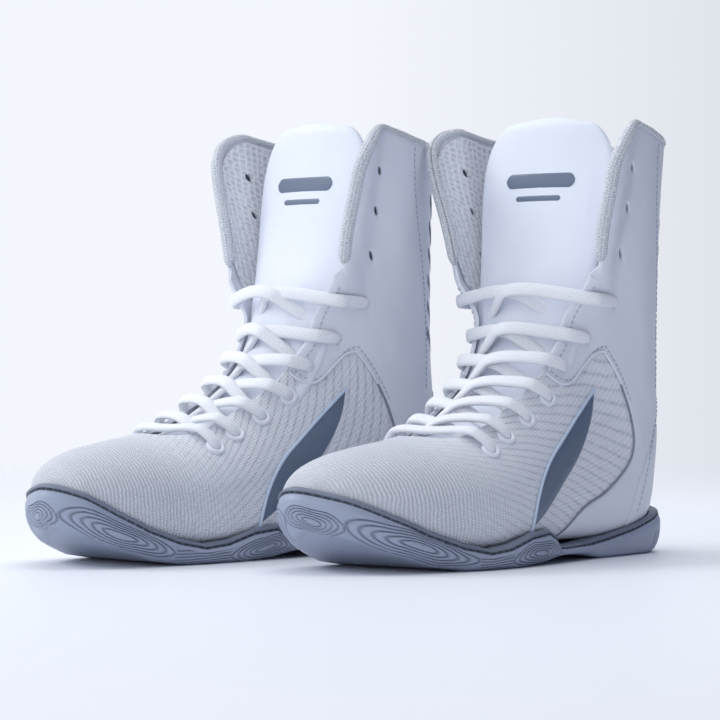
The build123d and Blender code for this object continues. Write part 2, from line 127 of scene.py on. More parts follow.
# ---- eyelets and laces: (forward, up) of each row, and the middle line of the crossings ----
ROWS = [(187, 62), (171, 69), (152, 78), (133, 89), (118, 105), (102, 121), (88, 141), (88, 167),
        (89, 192), (90, 214)]
RINGED_ROWS = 4
LACED_ROWS = 7
RING_OUTER = 5.4
RING_HOLE = 2.6
PUNCHED_HOLE = 2.3
HOLE_SIDES = 16
RING_SIDES = 28
# the disc of painted shade down in each hole: how much wider it is, and its two faces under the skin
DISC_MARGIN = 0.15
DISC_LIFTS = (-1.5, -1.9)
CROSSINGS = [(196, 73), (184, 78), (168, 87), (153, 98), (141, 111), (132, 128), (126, 150)]
LACE_WIDE = 3.7
LACE_THICK = 1.7
LACE_DIAMETER = 4.6

# ---- stitches of the upper ----
STITCH_PITCH = 3.3
STITCH_LENGTH = 2.3
STITCH_RADIUS = 0.28

# ---- tongue: (forward, up, half width, bow) of its middle ----
TONGUE = [(206, 60, 30, 0.008), (188, 64, 32, 0.01), (168, 72, 33, 0.01), (149, 84, 33, 0.01),
          (132, 99, 34, 0.01), (118, 120, 35, 0.009), (108, 146, 37, 0.006), (99, 170, 40, 0.003),
          (93, 195, 43, 0.002), (89, 218, 44, 0.002), (85, 244, 44, 0.002)]
TONGUE_THICK = 4.4
# the two bars on its front: (up, half width, half height)
BARS = [(207, 23, 4.2), (196.5, 15, 1.6)]
BAR_POINTS = 41

# ---- sole plan outline (forward, sideways) and tread line (forward, up) ----
SOLE_PLAN = [
    (0, 0), (6, 19), (24, 31), (55, 35), (88, 37), (120, 42), (152, 48), (182, 50.5), (208, 49.5),
    (234, 43), (257, 31), (274, 14), (284, -4), (287, -16), (283, -28), (272, -39), (252, -46.5),
    (228, -49.5), (203, -49), (176, -46.5), (150, -43), (120, -36), (86, -34), (52, -33),
    (23, -29), (6, -18),
]
TREAD = [(-6, 12), (6, 4), (18, 0.4), (30, 0), (82, 0), (92, 1.2), (102, 3), (126, 4.2), (136, 3.6),
         (150, 1.6), (172, 0), (216, 0), (236, 2.8), (256, 9.5), (274, 19), (294, 32)]
SOLE_RINGS = 60
# groups of nested ovals in the hull: plan place, half length, level, half height, skew
OVALS = [((250, 36), 37, 0.52, 0.46, 16), ((285, -6), 17, 0.36, 0.34, -6), ((260, -44), 33, 0.46, 0.42, -12),
         ((160, 49), 27, 0.44, 0.44, -10), ((160, -44), 27, 0.44, 0.44, -10)]
SOLE_STEP = 0.95
BAND_HEIGHT = 3.6
BAND_SHARE = 0.4
# the band's outside, (sideways, share of its height), then the cup's inside, (share of lean, drop)
BAND_SHAPE = [(-1.9, 0.08), (-1.9, 0.3), (-0.7, 0.42), (-0.35, 0.62), (-0.7, 0.82)]
INNER_SHAPE = [(0.75, 0.0), (1.0, -0.5), (1.05, -2.5), (1.05, -5.0)]
TREAD_THICK = 2.2

# free lace end inside the boot, on the lateral side, as in the frame (forward, sideways, up)
TAIL_ROUTE = [(87.4, 40, 142), (85, 30.5, 138.5), (83.5, 25, 128.5), (83.5, 23.5, 112),
              (85, 24, 90), (90, 24.5, 67), (100, 24, 46), (117, 22, 30), (138, 19, 22.5),
              (162, 15, 20.5), (184, 10, 20.5)]

# ---- camera (mm, degrees) ----
TARGET = (0.0, 34.0, 130.0)
VIEW_TURN = 42.65
VIEW_LIFT = -0.52
VIEW_DISTANCE = 1800.0
VIEW_ASIDE = (23.58, 21.02)
VIEW_LENS = 161.45

# ---- floor, surround and lights (m) ----
FLOOR_REACH = 1.9
FLOOR_SIDES = 64
FLOOR_FADE = (0.45, 1.7)
DARK_WAY = (0.735, 0.677, 0.0)
DARK_RANGE = (-0.02, 0.62)
LIGHTS = [
    # name, place, size, power, colour
    ("key", (-1.7, -1.2, 1.7), 1.1, 24, (0.96, 0.98, 1.0)),
    ("top", (0.1, 0.4, 2.2), 1.2, 12, (0.94, 0.96, 1.0)),
]


# ---------------------------------------------------------------- shape of the upper
def smooth(value):
    """0 to 1 with soft ends."""
    value = np.clip(value, 0, 1)
    return value * value * (3 - 2 * value)


def unit(vectors):
    """The directions of vectors."""
    return vectors / np.maximum(np.linalg.norm(vectors, axis=-1, keepdims=True), 1e-9)


def lengths_along(line):
    """Each point's distance from the start of a line, along it."""
    return np.concatenate([[0], np.cumsum(np.linalg.norm(np.diff(line, axis=0), axis=1))])


def full_turn(count):
    """Evenly spaced angles round a circle."""
    return 2 * pi * np.arange(count) / count


def bulge(swing, power):
    """A cosine or sine, made squarer or rounder by a power."""
    return np.sign(swing) * np.abs(swing) ** power


def along_line(line, where):
    """Height of a side view line at a place forward."""
    line = np.array(sorted(line), float)
    return np.interp(where, line[:, 0], line[:, 1])


def section_at(station):
    """Every measure of the sections at fractional stations, by a smooth curve through them."""
    station = np.clip(np.asarray(station, float), 0, LAST - 1e-9)
    low = np.floor(station).astype(int)
    part = (station - low)[..., None]
    before, here, after, beyond = (TABLE[np.clip(low + k, 0, len(TABLE) - 1)] for k in (-1, 0, 1, 2))
    return 0.5 * (
        2 * here
        + (after - before) * part
        + (2 * before - 5 * here + 4 * after - beyond) * part**2
        + (beyond - before + 3 * (here - after)) * part**3
    )


def powers(station, row, foot_side):
    """Exponents of a section's curve: squarer along the sole than the frame's, else the same."""
    soft = smooth((np.asarray(station, float) - SQUARE_UNTIL[0]) / (SQUARE_UNTIL[1] - SQUARE_UNTIL[0]))
    side = 2 / row[..., 8]
    upright = np.where(foot_side, SQUARE_FOOT[0] + (2 / row[..., 6] - SQUARE_FOOT[0]) * soft, 2 / row[..., 7])
    sideways = np.where(foot_side, SQUARE_FOOT[1] + (side - SQUARE_FOOT[1]) * soft, side)
    return upright, sideways


def upper(station, angle):
    """Points of the upper's outside; angle is 0 along the sole and back, pi along the instep."""
    station, angle = np.broadcast_arrays(np.asarray(station, float), np.asarray(angle, float))
    row = section_at(station)
    swing, turn = np.cos(angle), np.sin(angle)
    upright, sideways = powers(station, row, swing > 0)
    reach = np.full(swing.shape, 1.45)
    for _ in range(14):
        one = (reach * np.abs(swing)) ** upright
        two = (reach * np.abs(turn)) ** sideways
        reach = reach - (one + two - 1) * reach / (upright * one + sideways * two)
    fall = reach * swing
    wide = reach * turn
    lean = row[..., 9] * np.sign(fall) * np.abs(fall) ** (upright / 2)
    rise = 0.5 - 0.5 * fall
    across = row[..., 4] + row[..., 5] * wide * (1 - lean)
    forward = row[..., 0] + (row[..., 2] - row[..., 0]) * rise
    up = row[..., 1] + (row[..., 3] - row[..., 1]) * rise
    return np.stack([forward, across, up], axis=-1)


def normal_at(station, angle):
    """Outward unit normals of the upper."""
    station = np.clip(station, 0.02, LAST - 0.02)
    step = 2e-3
    along = upper(station + step, angle) - upper(station - step, angle)
    around = upper(station, angle + step) - upper(station, angle - step)
    return unit(np.cross(along, around))


FINE = np.linspace(0, LAST, 721)
LENGTHS = lengths_along(upper(FINE, MEASURED_ANGLE))


def on_side(forward, up):
    """Sheet place (mm along, mm around) of the lateral point at a place in the side view."""
    forward, up = np.broadcast_arrays(np.asarray(forward, float), np.asarray(up, float))
    low = np.zeros(forward.shape)
    high = np.full(forward.shape, LAST)
    for _ in range(40):
        middle = (low + high) / 2
        row = section_at(middle)
        run = row[..., 2:4] - row[..., 0:2]
        ahead = run[..., 0] * (up - row[..., 1]) - run[..., 1] * (forward - row[..., 0]) < 0
        high = np.where(ahead, middle, high)
        low = np.where(ahead, low, middle)
    station = (low + high) / 2
    row = section_at(station)
    run = row[..., 2:4] - row[..., 0:2]
    rise = ((forward - row[..., 0]) * run[..., 0] + (up - row[..., 1]) * run[..., 1]) / (run**2).sum(-1)
    fall = 1 - 2 * np.clip(rise, 0.0, 1.0)
    upright, sideways = powers(station, row, fall > 0)
    wide = np.clip(1 - np.abs(fall) ** upright, 0, 1) ** (1 / sideways)
    return np.stack([np.interp(station, FINE, LENGTHS), AROUND * np.arctan2(wide, fall)], axis=-1)


def on_front(across, along):
    """Sheet place of the lateral point seen square from the front and above at 45 degrees."""
    climb = along * 2**0.5 + THROAT_EYE[1] - THROAT_EYE[0]
    stations = np.linspace(3, 15, 1200)
    low = np.full(stations.shape, 0.5 * pi)
    high = np.full(stations.shape, pi)
    for _ in range(30):
        middle = (low + high) / 2
        wider = upper(stations, middle)[:, 1] > across
        low = np.where(wider, middle, low)
        high = np.where(wider, high, middle)
    spots = upper(stations, (low + high) / 2)
    best = int(np.argmin(np.abs(spots[:, 2] - spots[:, 0] - climb)))
    return np.array([np.interp(stations[best], FINE, LENGTHS), AROUND * (low[best] + high[best]) / 2])


def splay(points):
    """The collar flaps open outwards towards their front edges."""
    forward, across, up = np.moveaxis(points, -1, 0)
    lateral = across > 0
    high = np.clip((up - SPLAY_HEIGHTS[0]) / SPLAY_HEIGHTS[1], 0, 1)
    (outer, outer_gain), (inner, inner_gain) = SPLAY_LATERAL, SPLAY_MEDIAL
    amount = np.where(lateral, outer + outer_gain * high, inner + inner_gain * high)
    starts = smooth((up - SPLAY_START[0]) / SPLAY_START[1])
    push = amount * smooth((forward - SPLAY_FRONT[0]) / SPLAY_FRONT[1]) * starts
    return np.stack([forward, across + np.where(lateral, push, -push), up], axis=-1)


def skin(sheet, lift=0.0):
    """Points over the upper at sheet places, lifted off it along its normals."""
    sheet = np.asarray(sheet, float)
    station = np.interp(sheet[..., 0], LENGTHS, FINE)
    angle = sheet[..., 1] / AROUND
    lift = np.asarray(lift, float)
    points = upper(station, angle) + normal_at(station, angle) * lift[..., None]
    return splay(points)


def skin_normal(sheet):
    """Outward normals at sheet places."""
    sheet = np.asarray(sheet, float)
    return normal_at(np.interp(sheet[..., 0], LENGTHS, FINE), sheet[..., 1] / AROUND)


def other_side(sheet):
    """The medial mirror of lateral sheet places."""
    sheet = np.asarray(sheet, float)
    return np.stack([sheet[..., 0], 2 * pi * AROUND - sheet[..., 1]], axis=-1)


def for_side(sheet, side):
    """Lateral sheet places for side 1, or their medial mirror for side -1."""
    return sheet if side > 0 else other_side(sheet)


def world(points, boot):
    """Points of a boot's own frame in millimetres, as points of the row frame in metres."""
    points = np.asarray(points, float)
    side = SIDES[boot]
    turn = radians(-90 + side * TOE_OUT)
    forward = points[..., 0] - BOOT_MIDDLE
    across = points[..., 1] * side
    place = PLACES[boot]
    x = forward * cos(turn) - across * sin(turn) + place[0]
    y = forward * sin(turn) + across * cos(turn) + place[1]
    return np.stack([x, y, points[..., 2]], axis=-1) * MM


# ---------------------------------------------------------------- mesh helpers
def through(points, step, closed=False):
    """A smooth line through points, with about the given spacing."""
    points = np.asarray(points, float)
    count = len(points)
    out = []
    for index in range(count if closed else count - 1):
        if closed:
            four = [points[(index + k) % count] for k in (-1, 0, 1, 2)]
        else:
            four = [points[min(max(index + k, 0), count - 1)] for k in (-1, 0, 1, 2)]
        parts = max(1, int(round(np.linalg.norm(four[2] - four[1]) / step)))
        part = (np.arange(parts) / parts)[:, None]
        a, b, c, d = four
        out.append(0.5 * (2 * b + (c - a) * part + (2 * a - 5 * b + 4 * c - d) * part**2
                          + (d - a + 3 * (b - c)) * part**3))
    if not closed:
        out.append(points[-1:])
    return np.concatenate(out)


def straight(points, step):
    """Points along straight runs, with about the given spacing."""
    points = np.asarray(points, float)
    out = []
    for a, b in zip(points[:-1], points[1:]):
        parts = max(1, int(round(np.linalg.norm(b - a) / step)))
        out.append(a + (b - a) * (np.arange(parts) / parts)[:, None])
    out.append(points[-1:])
    return np.concatenate(out)


def soft_line(points, step):
    """A smooth line that eases past its inner points (a clamped quadratic B-spline)."""
    points = np.asarray(points, float)
    middles = (points[1:] + points[:-1]) / 2
    knots = np.concatenate([points[:1], middles[1:-1] if len(points) > 3 else middles[:0], points[-1:]])
    out = []
    for index in range(len(knots) - 1):
        a, b, c = knots[index], points[index + 1], knots[index + 1]
        parts = max(2, int(round((np.linalg.norm(b - a) + np.linalg.norm(c - b)) / step)))
        part = (np.arange(parts) / parts)[:, None]
        out.append((1 - part) ** 2 * a + 2 * part * (1 - part) * b + part**2 * c)
    out.append(points[-1:])
    return np.concatenate(out)


def gap_to(points, loop):
    """Distance from each point to the nearest edge of a closed loop."""
    best = np.full(len(points), 1e9)
    for a, b in zip(loop, np.roll(loop, -1, axis=0)):
        run = b - a
        part = np.clip(((points - a) @ run) / max(run @ run, 1e-12), 0, 1)
        best = np.minimum(best, np.linalg.norm(points - a - part[:, None] * run, axis=1))
    return best


def inside(points, loop):
    """Whether each point lies inside a closed loop."""
    result = np.zeros(len(points), bool)
    for a, b in zip(loop, np.roll(loop, -1, axis=0)):
        if a[1] == b[1]:
            continue
        spans = (a[1] > points[:, 1]) != (b[1] > points[:, 1])
        result ^= spans & (points[:, 0] < (b[0] - a[0]) * (points[:, 1] - a[1]) / (b[1] - a[1]) + a[0])
    return result


def fill_loop(outline, holes=(), grid=3.0):
    """Flat points and triangles that fill a loop, finer along its edges, and each point's gap."""
    loops = [outline, *holes]
    low, high = outline.min(0), outline.max(0)
    rows = []
    for index, level in enumerate(np.arange(low[1], high[1], grid * 0.87)):
        start = low[0] + (index % 2) * grid / 2
        places = np.arange(start, high[0], grid)
        rows.append(np.stack([places, np.full(len(places), level)], axis=1))
    cloud = [(np.concatenate(rows), 0.7 * grid)]
    for loop in loops:
        run = np.roll(loop, -1, axis=0) - np.roll(loop, 1, axis=0)
        square = unit(np.stack([run[:, 1], -run[:, 0]], axis=1))
        for reach in (0.45, 1.2):
            for way in (1, -1):
                cloud.append((loop + way * reach * square, 0.9 * reach))
    kept = []
    for points, room in cloud:
        gap = np.min([gap_to(points, loop) for loop in loops], axis=0)
        keep = inside(points, outline) & (gap >= room)
        for hole in holes:
            keep &= ~inside(points, hole)
        kept.append(points[keep])
    edges = []
    count = 0
    for loop in loops:
        edges += [(count + k, count + (k + 1) % len(loop)) for k in range(len(loop))]
        count += len(loop)
    points = np.concatenate(loops + kept)
    flat, _, faces, _, _, _ = delaunay_2d_cdt(
        [Vector(p) for p in points], edges, [list(range(len(outline)))], 1, 1e-4, False
    )
    flat = np.array([tuple(p) for p in flat])
    faces = np.array([f for f in faces if len(f) == 3])
    centres = flat[faces].mean(1)
    keep = inside(centres, outline)
    for hole in holes:
        keep &= ~inside(centres, hole)
    faces = faces[keep]
    gap = np.min([gap_to(flat, loop) for loop in loops], axis=0)
    return flat, faces, gap


def close_sheet(top, bottom, faces):
    """One closed shell from a sheet's two sides and the rim between them."""
    count = len(top)
    seen = {}
    for a, b, c in faces:
        for edge in ((a, b), (b, c), (c, a)):
            seen[edge] = True
    rim = [edge for edge in seen if (edge[1], edge[0]) not in seen]
    all_faces = [tuple(f) for f in faces.tolist()]
    all_faces += [(c + count, b + count, a + count) for a, b, c in faces.tolist()]
    all_faces += [(int(b), int(a), int(a) + count, int(b) + count) for a, b in rim]
    return np.concatenate([top, bottom]), all_faces


def panel(outline, lift=0.0, thick=2.0, holes=(), drop=0.6, grid=3.0):
    """Points, faces and map of a panel over the upper, with rounded edges."""
    flat, faces, gap = fill_loop(np.asarray(outline, float), holes, grid)
    lifts = lift - drop * (1 - np.clip(gap / 1.4, 0, 1)) ** 2
    top = skin(flat, lifts)
    bottom = skin(flat, np.full(len(flat), lift - thick))
    sample = faces[:: max(1, len(faces) // 50)]
    facing = np.cross(top[sample[:, 1]] - top[sample[:, 0]], top[sample[:, 2]] - top[sample[:, 0]])
    if (facing * skin_normal(flat[sample[:, 0]])).sum() < 0:
        faces = faces[:, ::-1]
    points, all_faces = close_sheet(top, bottom, faces)
    return points, all_faces, np.concatenate([flat, flat])


def tube(line, normals, wide, thick, sides=12, power=2.4, closed=False):
    """Points, faces and map of an oval tube along a line; wide lies square to the normals."""
    line = np.asarray(line, float)
    count = len(line)
    if closed:
        run = np.roll(line, -1, axis=0) - np.roll(line, 1, axis=0)
    else:
        run = np.gradient(line, axis=0)
    run = unit(run)
    across = unit(np.cross(run, normals))
    out = np.cross(across, run)
    turn = full_turn(sides)
    swing = bulge(np.cos(turn), 2 / power)
    climb = bulge(np.sin(turn), 2 / power)
    wide = np.broadcast_to(np.asarray(wide, float), (count,))
    thick = np.broadcast_to(np.asarray(thick, float), (count,))
    rings = (line[:, None] + across[:, None] * (wide[:, None] * swing)[..., None]
             + out[:, None] * (thick[:, None] * climb)[..., None])
    lengths = lengths_along(line)
    around = turn * (wide.mean() + thick.mean()) / 2
    maps = np.stack(np.broadcast_arrays(lengths[:, None], around[None]), axis=-1)
    faces = []
    for a in range(count if closed else count - 1):
        b = (a + 1) % count
        for k in range(sides):
            n = (k + 1) % sides
            faces.append((a * sides + k, b * sides + k, b * sides + n, a * sides + n))
    if not closed:
        faces.append(tuple(range(sides)))
        faces.append(tuple(range((count - 1) * sides, count * sides))[::-1])
    return rings.reshape(-1, 3), faces, maps.reshape(-1, 2)


def joined(*parts):
    """Several meshes as one."""
    points, faces, maps = [], [], []
    count = 0
    for part_points, part_faces, part_map in parts:
        points.append(part_points)
        maps.append(part_map)
        faces += [tuple(k + count for k in face) for face in part_faces]
        count += len(part_points)
    return np.concatenate(points), faces, np.concatenate(maps)


def stitches(line, lift):
    """Separate short stitches along a line of sheet places."""
    line = np.asarray(line, float)
    points = skin(line, np.full(len(line), lift))
    lengths = lengths_along(points)
    normals = skin_normal(line)
    parts = []
    for start in np.arange(STITCH_PITCH / 2, lengths[-1] - STITCH_LENGTH, STITCH_PITCH):
        where = start + STITCH_LENGTH * np.array([0, 0.12, 0.88, 1])
        spots = np.stack([np.interp(where, lengths, points[:, k]) for k in range(3)], axis=1)
        ups = np.stack([np.interp(where, lengths, normals[:, k]) for k in range(3)], axis=1)
        size = STITCH_RADIUS * np.array([0.35, 1, 1, 0.35])
        parts.append(tube(spots, ups, size * 1.2, size, sides=6, power=2))
    return joined(*parts)


def put(boot, name, mesh_parts, materials):
    """A mesh object of one boot, in the row frame."""
    points, faces, maps, *indices = mesh_parts
    mesh = bpy.data.meshes.new(boot + "_" + name)
    if SIDES[boot] < 0:
        faces = [tuple(face)[::-1] for face in faces]
    mesh.from_pydata(world(points, boot).tolist(), [], [list(map(int, face)) for face in faces])
    mesh.validate()
    layer = mesh.uv_layers.new(name="UVMap")
    corners = np.empty(len(mesh.loops), int)
    mesh.loops.foreach_get("vertex_index", corners)
    layer.data.foreach_set("uv", maps[corners].astype(np.float32).ravel())
    mesh.shade_smooth()
    mesh.set_sharp_from_angle(angle=radians(SHARP_ANGLE))
    for material in materials:
        mesh.materials.append(material)
    if indices and len(indices[0]) == len(mesh.polygons):
        mesh.polygons.foreach_set("material_index", np.asarray(indices[0], int))
    piece = bpy.data.objects.new(boot + "_" + name, mesh)
    bpy.context.scene.collection.objects.link(piece)
    return piece


# ---------------------------------------------------------------- materials
def new_material(name, colour, rough, **sockets):
    """A material with one Principled shader, and its tree and shader."""
    material = bpy.data.materials.new(name)
    material.use_nodes = True
    tree = material.node_tree
    shader = tree.nodes["Principled BSDF"]
    shader.inputs["Base Color"].default_value = (*colour, 1)
    shader.inputs["Roughness"].default_value = rough
    for socket, value in sockets.items():
        shader.inputs[socket.replace("_", " ")].default_value = value
    return material, tree, shader


def calc(tree, kind, first, second=0.5, third=0.5):
    """A math node's result."""
    node = tree.nodes.new("ShaderNodeMath")
    node.operation = kind
    for index, value in enumerate((first, second, third)):
        if isinstance(value, bpy.types.NodeSocket):
            tree.links.new(value, node.inputs[index])
        else:
            node.inputs[index].default_value = value
    return node.outputs[0]


def sheet_map(tree):
    """The two map coordinates of a piece, in millimetres."""
    source = tree.nodes.new("ShaderNodeUVMap")
    source.uv_map = "UVMap"
    split = tree.nodes.new("ShaderNodeSeparateXYZ")
    tree.links.new(source.outputs[0], split.inputs[0])
    return source.outputs[0], split.outputs[0], split.outputs[1]


def noise(tree, vector, scale, detail=2.0):
    """Noise from 0 to 1."""
    node = tree.nodes.new("ShaderNodeTexNoise")
    node.inputs["Scale"].default_value = scale
    node.inputs["Detail"].default_value = detail
    tree.links.new(vector, node.inputs["Vector"])
    return node.outputs[0]


def mix_colours(tree, factor, first, second):
    """A colour between two colours, by a factor."""
    node = tree.nodes.new("ShaderNodeMix")
    node.data_type = "RGBA"
    node.inputs["A"].default_value = (*first, 1)
    node.inputs["B"].default_value = (*second, 1)
    tree.links.new(factor, node.inputs["Factor"])
    return node.outputs["Result"]


def tint(tree, shader, factor, dark, light):
    """Base colour from a factor, between two colours."""
    tree.links.new(mix_colours(tree, factor, dark, light), shader.inputs["Base Color"])


def place_in(tree, kind):
    """Coordinates of a kind that a piece has without a map."""
    return tree.nodes.new("ShaderNodeTexCoord").outputs[kind]


def vector_value(tree, operation, vector, other=(0.0, 0.0, 0.0)):
    """One number from a vector, and from another where the operation takes two."""
    node = tree.nodes.new("ShaderNodeVectorMath")
    node.operation = operation
    node.inputs[1].default_value = other
    tree.links.new(vector, node.inputs[0])
    return node.outputs["Value"]


def map_range(tree, value, before, after=(0.0, 1.0), kind="LINEAR"):
    """A value's place between two limits, as its place between two others."""
    node = tree.nodes.new("ShaderNodeMapRange")
    node.interpolation_type = kind
    for socket, limit in zip(("From Min", "From Max", "To Min", "To Max"), (*before, *after)):
        node.inputs[socket].default_value = limit
    tree.links.new(value, node.inputs["Value"])
    return node.outputs[0]


def bumpy(tree, shader, height, depth, strength=0.8):
    """Bump from a height, with its depth in millimetres."""
    node = tree.nodes.new("ShaderNodeBump")
    node.inputs["Distance"].default_value = depth * MM
    node.inputs["Strength"].default_value = strength
    tree.links.new(height, node.inputs["Height"])
    tree.links.new(node.outputs[0], shader.inputs["Normal"])


def wave(tree, coordinate, period, shift=0.0):
    """A sine of a coordinate, from 0 to 1."""
    phase = calc(tree, "MULTIPLY_ADD", coordinate, 2 * pi / period, shift)
    return calc(tree, "MULTIPLY_ADD", calc(tree, "SINE", phase), 0.5, 0.5)


def knit_material():
    """Ribbed knit over the toes that turns into a finer dotted knit towards the side, with painted shade in
    its hollows.
    """
    material, tree, shader = new_material(
        "knit_mesh", (0.6, 0.64, 0.72), 0.42, Sheen_Weight=0.2, Specular_IOR_Level=0.55
    )
    vector, along, around = sheet_map(tree)
    ripple = calc(tree, "MULTIPLY", noise(tree, vector, 0.07), 3.0)
    bent = calc(tree, "ADD", along, ripple)
    ribs = calc(tree, "POWER", wave(tree, bent, 2.3), 1.2)
    beads = wave(tree, calc(tree, "MULTIPLY_ADD", along, 0.35, around), 2.1)
    breaks = noise(tree, vector, 0.16, 1.0)
    slant = wave(tree, calc(tree, "MULTIPLY_ADD", around, 1.5, bent), 8.5)
    slant = calc(tree, "MULTIPLY", calc(tree, "POWER", slant, 5.0), breaks)
    dots = calc(tree, "MULTIPLY", wave(tree, along, 1.9), wave(tree, around, 1.9))
    side = calc(tree, "MULTIPLY_ADD", along, 1 / 60, -1.3)
    side = calc(tree, "MINIMUM", calc(tree, "MAXIMUM", side, 0.0), 1.0)
    toe = calc(tree, "MULTIPLY", ribs, calc(tree, "MULTIPLY_ADD", beads, 0.7, 0.3))
    flank = calc(tree, "MULTIPLY_ADD", slant, -0.75, calc(tree, "MULTIPLY_ADD", dots, 0.55, 0.45))
    blend = tree.nodes.new("ShaderNodeMix")
    tree.links.new(side, blend.inputs["Factor"])
    tree.links.new(toe, blend.inputs["A"])
    tree.links.new(flank, blend.inputs["B"])
    height = blend.outputs["Result"]
    # colour follows the relief: the darker hollows between ribs, beads and slanted marks are painted shade
    tint(tree, shader, calc(tree, "MULTIPLY", height, 1.15), (0.5, 0.53, 0.6), (0.9, 0.92, 0.97))
    bumpy(tree, shader, height, 0.55, 0.9)
    return material


def cover_material(name, colour, dark, light, rough, cloud, grain, **sockets):
    """Smooth synthetic leather with a fine grain and faint clouding."""
    material, tree, shader = new_material(name, colour, rough, **sockets)
    vector, _, _ = sheet_map(tree)
    tint(tree, shader, noise(tree, vector, cloud), dark, light)
    bumpy(tree, shader, noise(tree, vector, grain, 3.0), 0.08, 0.5)
    return material


def honeycomb_material(name, dark, light, size, rough=0.5):
    """Open knit of small cells, with painted shade down in each cell."""
    material, tree, shader = new_material(name, light, rough, Sheen_Weight=0.3)
    vector, _, _ = sheet_map(tree)
    cells = tree.nodes.new("ShaderNodeTexVoronoi")
    cells.feature = "DISTANCE_TO_EDGE"
    cells.inputs["Scale"].default_value = 1 / size
    cells.inputs["Randomness"].default_value = 0.35
    tree.links.new(vector, cells.inputs["Vector"])
    wall = calc(tree, "SUBTRACT", 1.0, calc(tree, "MULTIPLY", cells.outputs["Distance"], 2.6))
    wall = calc(tree, "MAXIMUM", wall, 0.0)
    # cell middles, low in the bump, are darker: painted shade
    tint(tree, shader, wall, dark, light)
    bumpy(tree, shader, wall, 0.5, 0.9)
    return material


def woven_material(name, dark, light, period, rough=0.62):
    """Braid of slanted threads, on pieces mapped along and around their line, with painted shade between the
    threads.
    """
    material, tree, shader = new_material(name, light, rough, Sheen_Weight=0.25)
    _, along, around = sheet_map(tree)
    left = wave(tree, calc(tree, "ADD", along, around), period)
    right = wave(tree, calc(tree, "SUBTRACT", along, around), period)
    weave = calc(tree, "MAXIMUM", left, right)
    # gaps between the threads, low in the bump, are darker: painted shade
    tint(tree, shader, weave, dark, light)
    bumpy(tree, shader, weave, 0.25, 0.8)
    return material


def grained_material(name, dark, light, rough, size=1.2, depth=0.1, **sockets):
    """A plain moulded or coated surface with a fine grain and slight clouding."""
    material, tree, shader = new_material(name, light, rough, **sockets)
    vector = place_in(tree, "Object")
    tint(tree, shader, noise(tree, vector, 28.0), dark, light)
    bumpy(tree, shader, noise(tree, vector, 1000 / size, 3.0), depth, 0.6)
    return material


def hull_material():
    """Moulded rubber, with painted shade down in its grooves."""
    material, tree, shader = new_material("hull_rubber", (0.28, 0.32, 0.43), 0.42)
    depth = tree.nodes.new("ShaderNodeAttribute")
    depth.attribute_name = "groove"
    # the deeper in a groove, the darker: painted shade in the moulded lines
    tint(tree, shader, depth.outputs["Fac"], (0.33, 0.375, 0.49), (0.17, 0.195, 0.265))
    bumpy(tree, shader, noise(tree, place_in(tree, "Object"), 900.0, 3.0), 0.1, 0.5)
    return material


LOOKS = {
    "knit": knit_material(),
    "smooth": cover_material("synthetic", (0.78, 0.8, 0.88), (0.69, 0.72, 0.81), (0.82, 0.84, 0.91), 0.4,
                             0.03, 1.3, Coat_Weight=0.06),
    "tongue": cover_material("tongue_cover", (0.76, 0.79, 0.87), (0.72, 0.76, 0.86), (0.78, 0.82, 0.91), 0.5,
                             0.04, 1.1, Sheen_Weight=0.15),
    "lining": honeycomb_material("lining_mesh", (0.55, 0.58, 0.66), (0.87, 0.89, 0.94), 3.2),
    "roll": honeycomb_material("silver_knit", (0.52, 0.55, 0.62), (0.84, 0.87, 0.92), 1.5, 0.35),
    "lace": woven_material("lace_weave", (0.7, 0.73, 0.8), (0.93, 0.95, 0.99), 1.5),
    "hull": hull_material(),
    "band": grained_material("band_rubber", (0.14, 0.165, 0.225), (0.19, 0.22, 0.29), 0.5),
    # near black for the discs down in the holes: painted shade, not a material of the boot
    "hole_shade": grained_material("shade_in_holes", (0.05, 0.06, 0.09), (0.08, 0.09, 0.12), 0.7),
    "slate": grained_material("slate_film", (0.1, 0.135, 0.2), (0.14, 0.185, 0.27), 0.4, Coat_Weight=0.1),
    "rim": grained_material("pale_rim", (0.5, 0.6, 0.76), (0.62, 0.72, 0.86), 0.35),
    "ring": grained_material("gloss_ring", (0.78, 0.81, 0.88), (0.86, 0.88, 0.94), 0.22, Coat_Weight=0.3),
    "thread": grained_material("pale_thread", (0.4, 0.44, 0.53), (0.5, 0.54, 0.63), 0.6),
    "dark_thread": grained_material("dark_thread", (0.03, 0.04, 0.06), (0.07, 0.09, 0.12), 0.6),
    "seam": grained_material("seam_line", (0.2, 0.23, 0.3), (0.27, 0.3, 0.38), 0.5),
    "board": grained_material("fibre_board", (0.5, 0.48, 0.42), (0.62, 0.6, 0.54), 0.8, 0.6, 0.2),
    "foam": grained_material("foam", (0.72, 0.75, 0.8), (0.8, 0.83, 0.88), 0.7, 0.8, 0.2),
    "tip": grained_material("clear_tip", (0.75, 0.77, 0.8), (0.85, 0.87, 0.9), 0.2),
    "tail": grained_material("lace_end", (0.78, 0.81, 0.88), (0.9, 0.92, 0.97), 0.6, 0.7, 0.2),
    "sock": grained_material("sock_cloth", (0.42, 0.46, 0.54), (0.52, 0.56, 0.64), 0.8, 0.7, 0.2),
}


# ---------------------------------------------------------------- pieces of one boot
def row_spots(side):
    """Sheet places of the eyelet rows on one side."""
    spots = np.array([on_side(*row) for row in ROWS])
    return for_side(spots, side)


def hole_loops(rows, side, radius):
    """Round hole outlines in the sheet, undistorted on the upper."""
    loops = []
    for spot in row_spots(side)[rows]:
        step = 0.5
        here = skin(spot)
        along = np.linalg.norm(skin(spot + [step, 0]) - here) / step
        around = np.linalg.norm(skin(spot + [0, step]) - here) / step
        turn = full_turn(HOLE_SIDES)
        loops.append(spot + radius * np.stack([np.cos(turn) / along, np.sin(turn) / around], axis=1))
    return loops


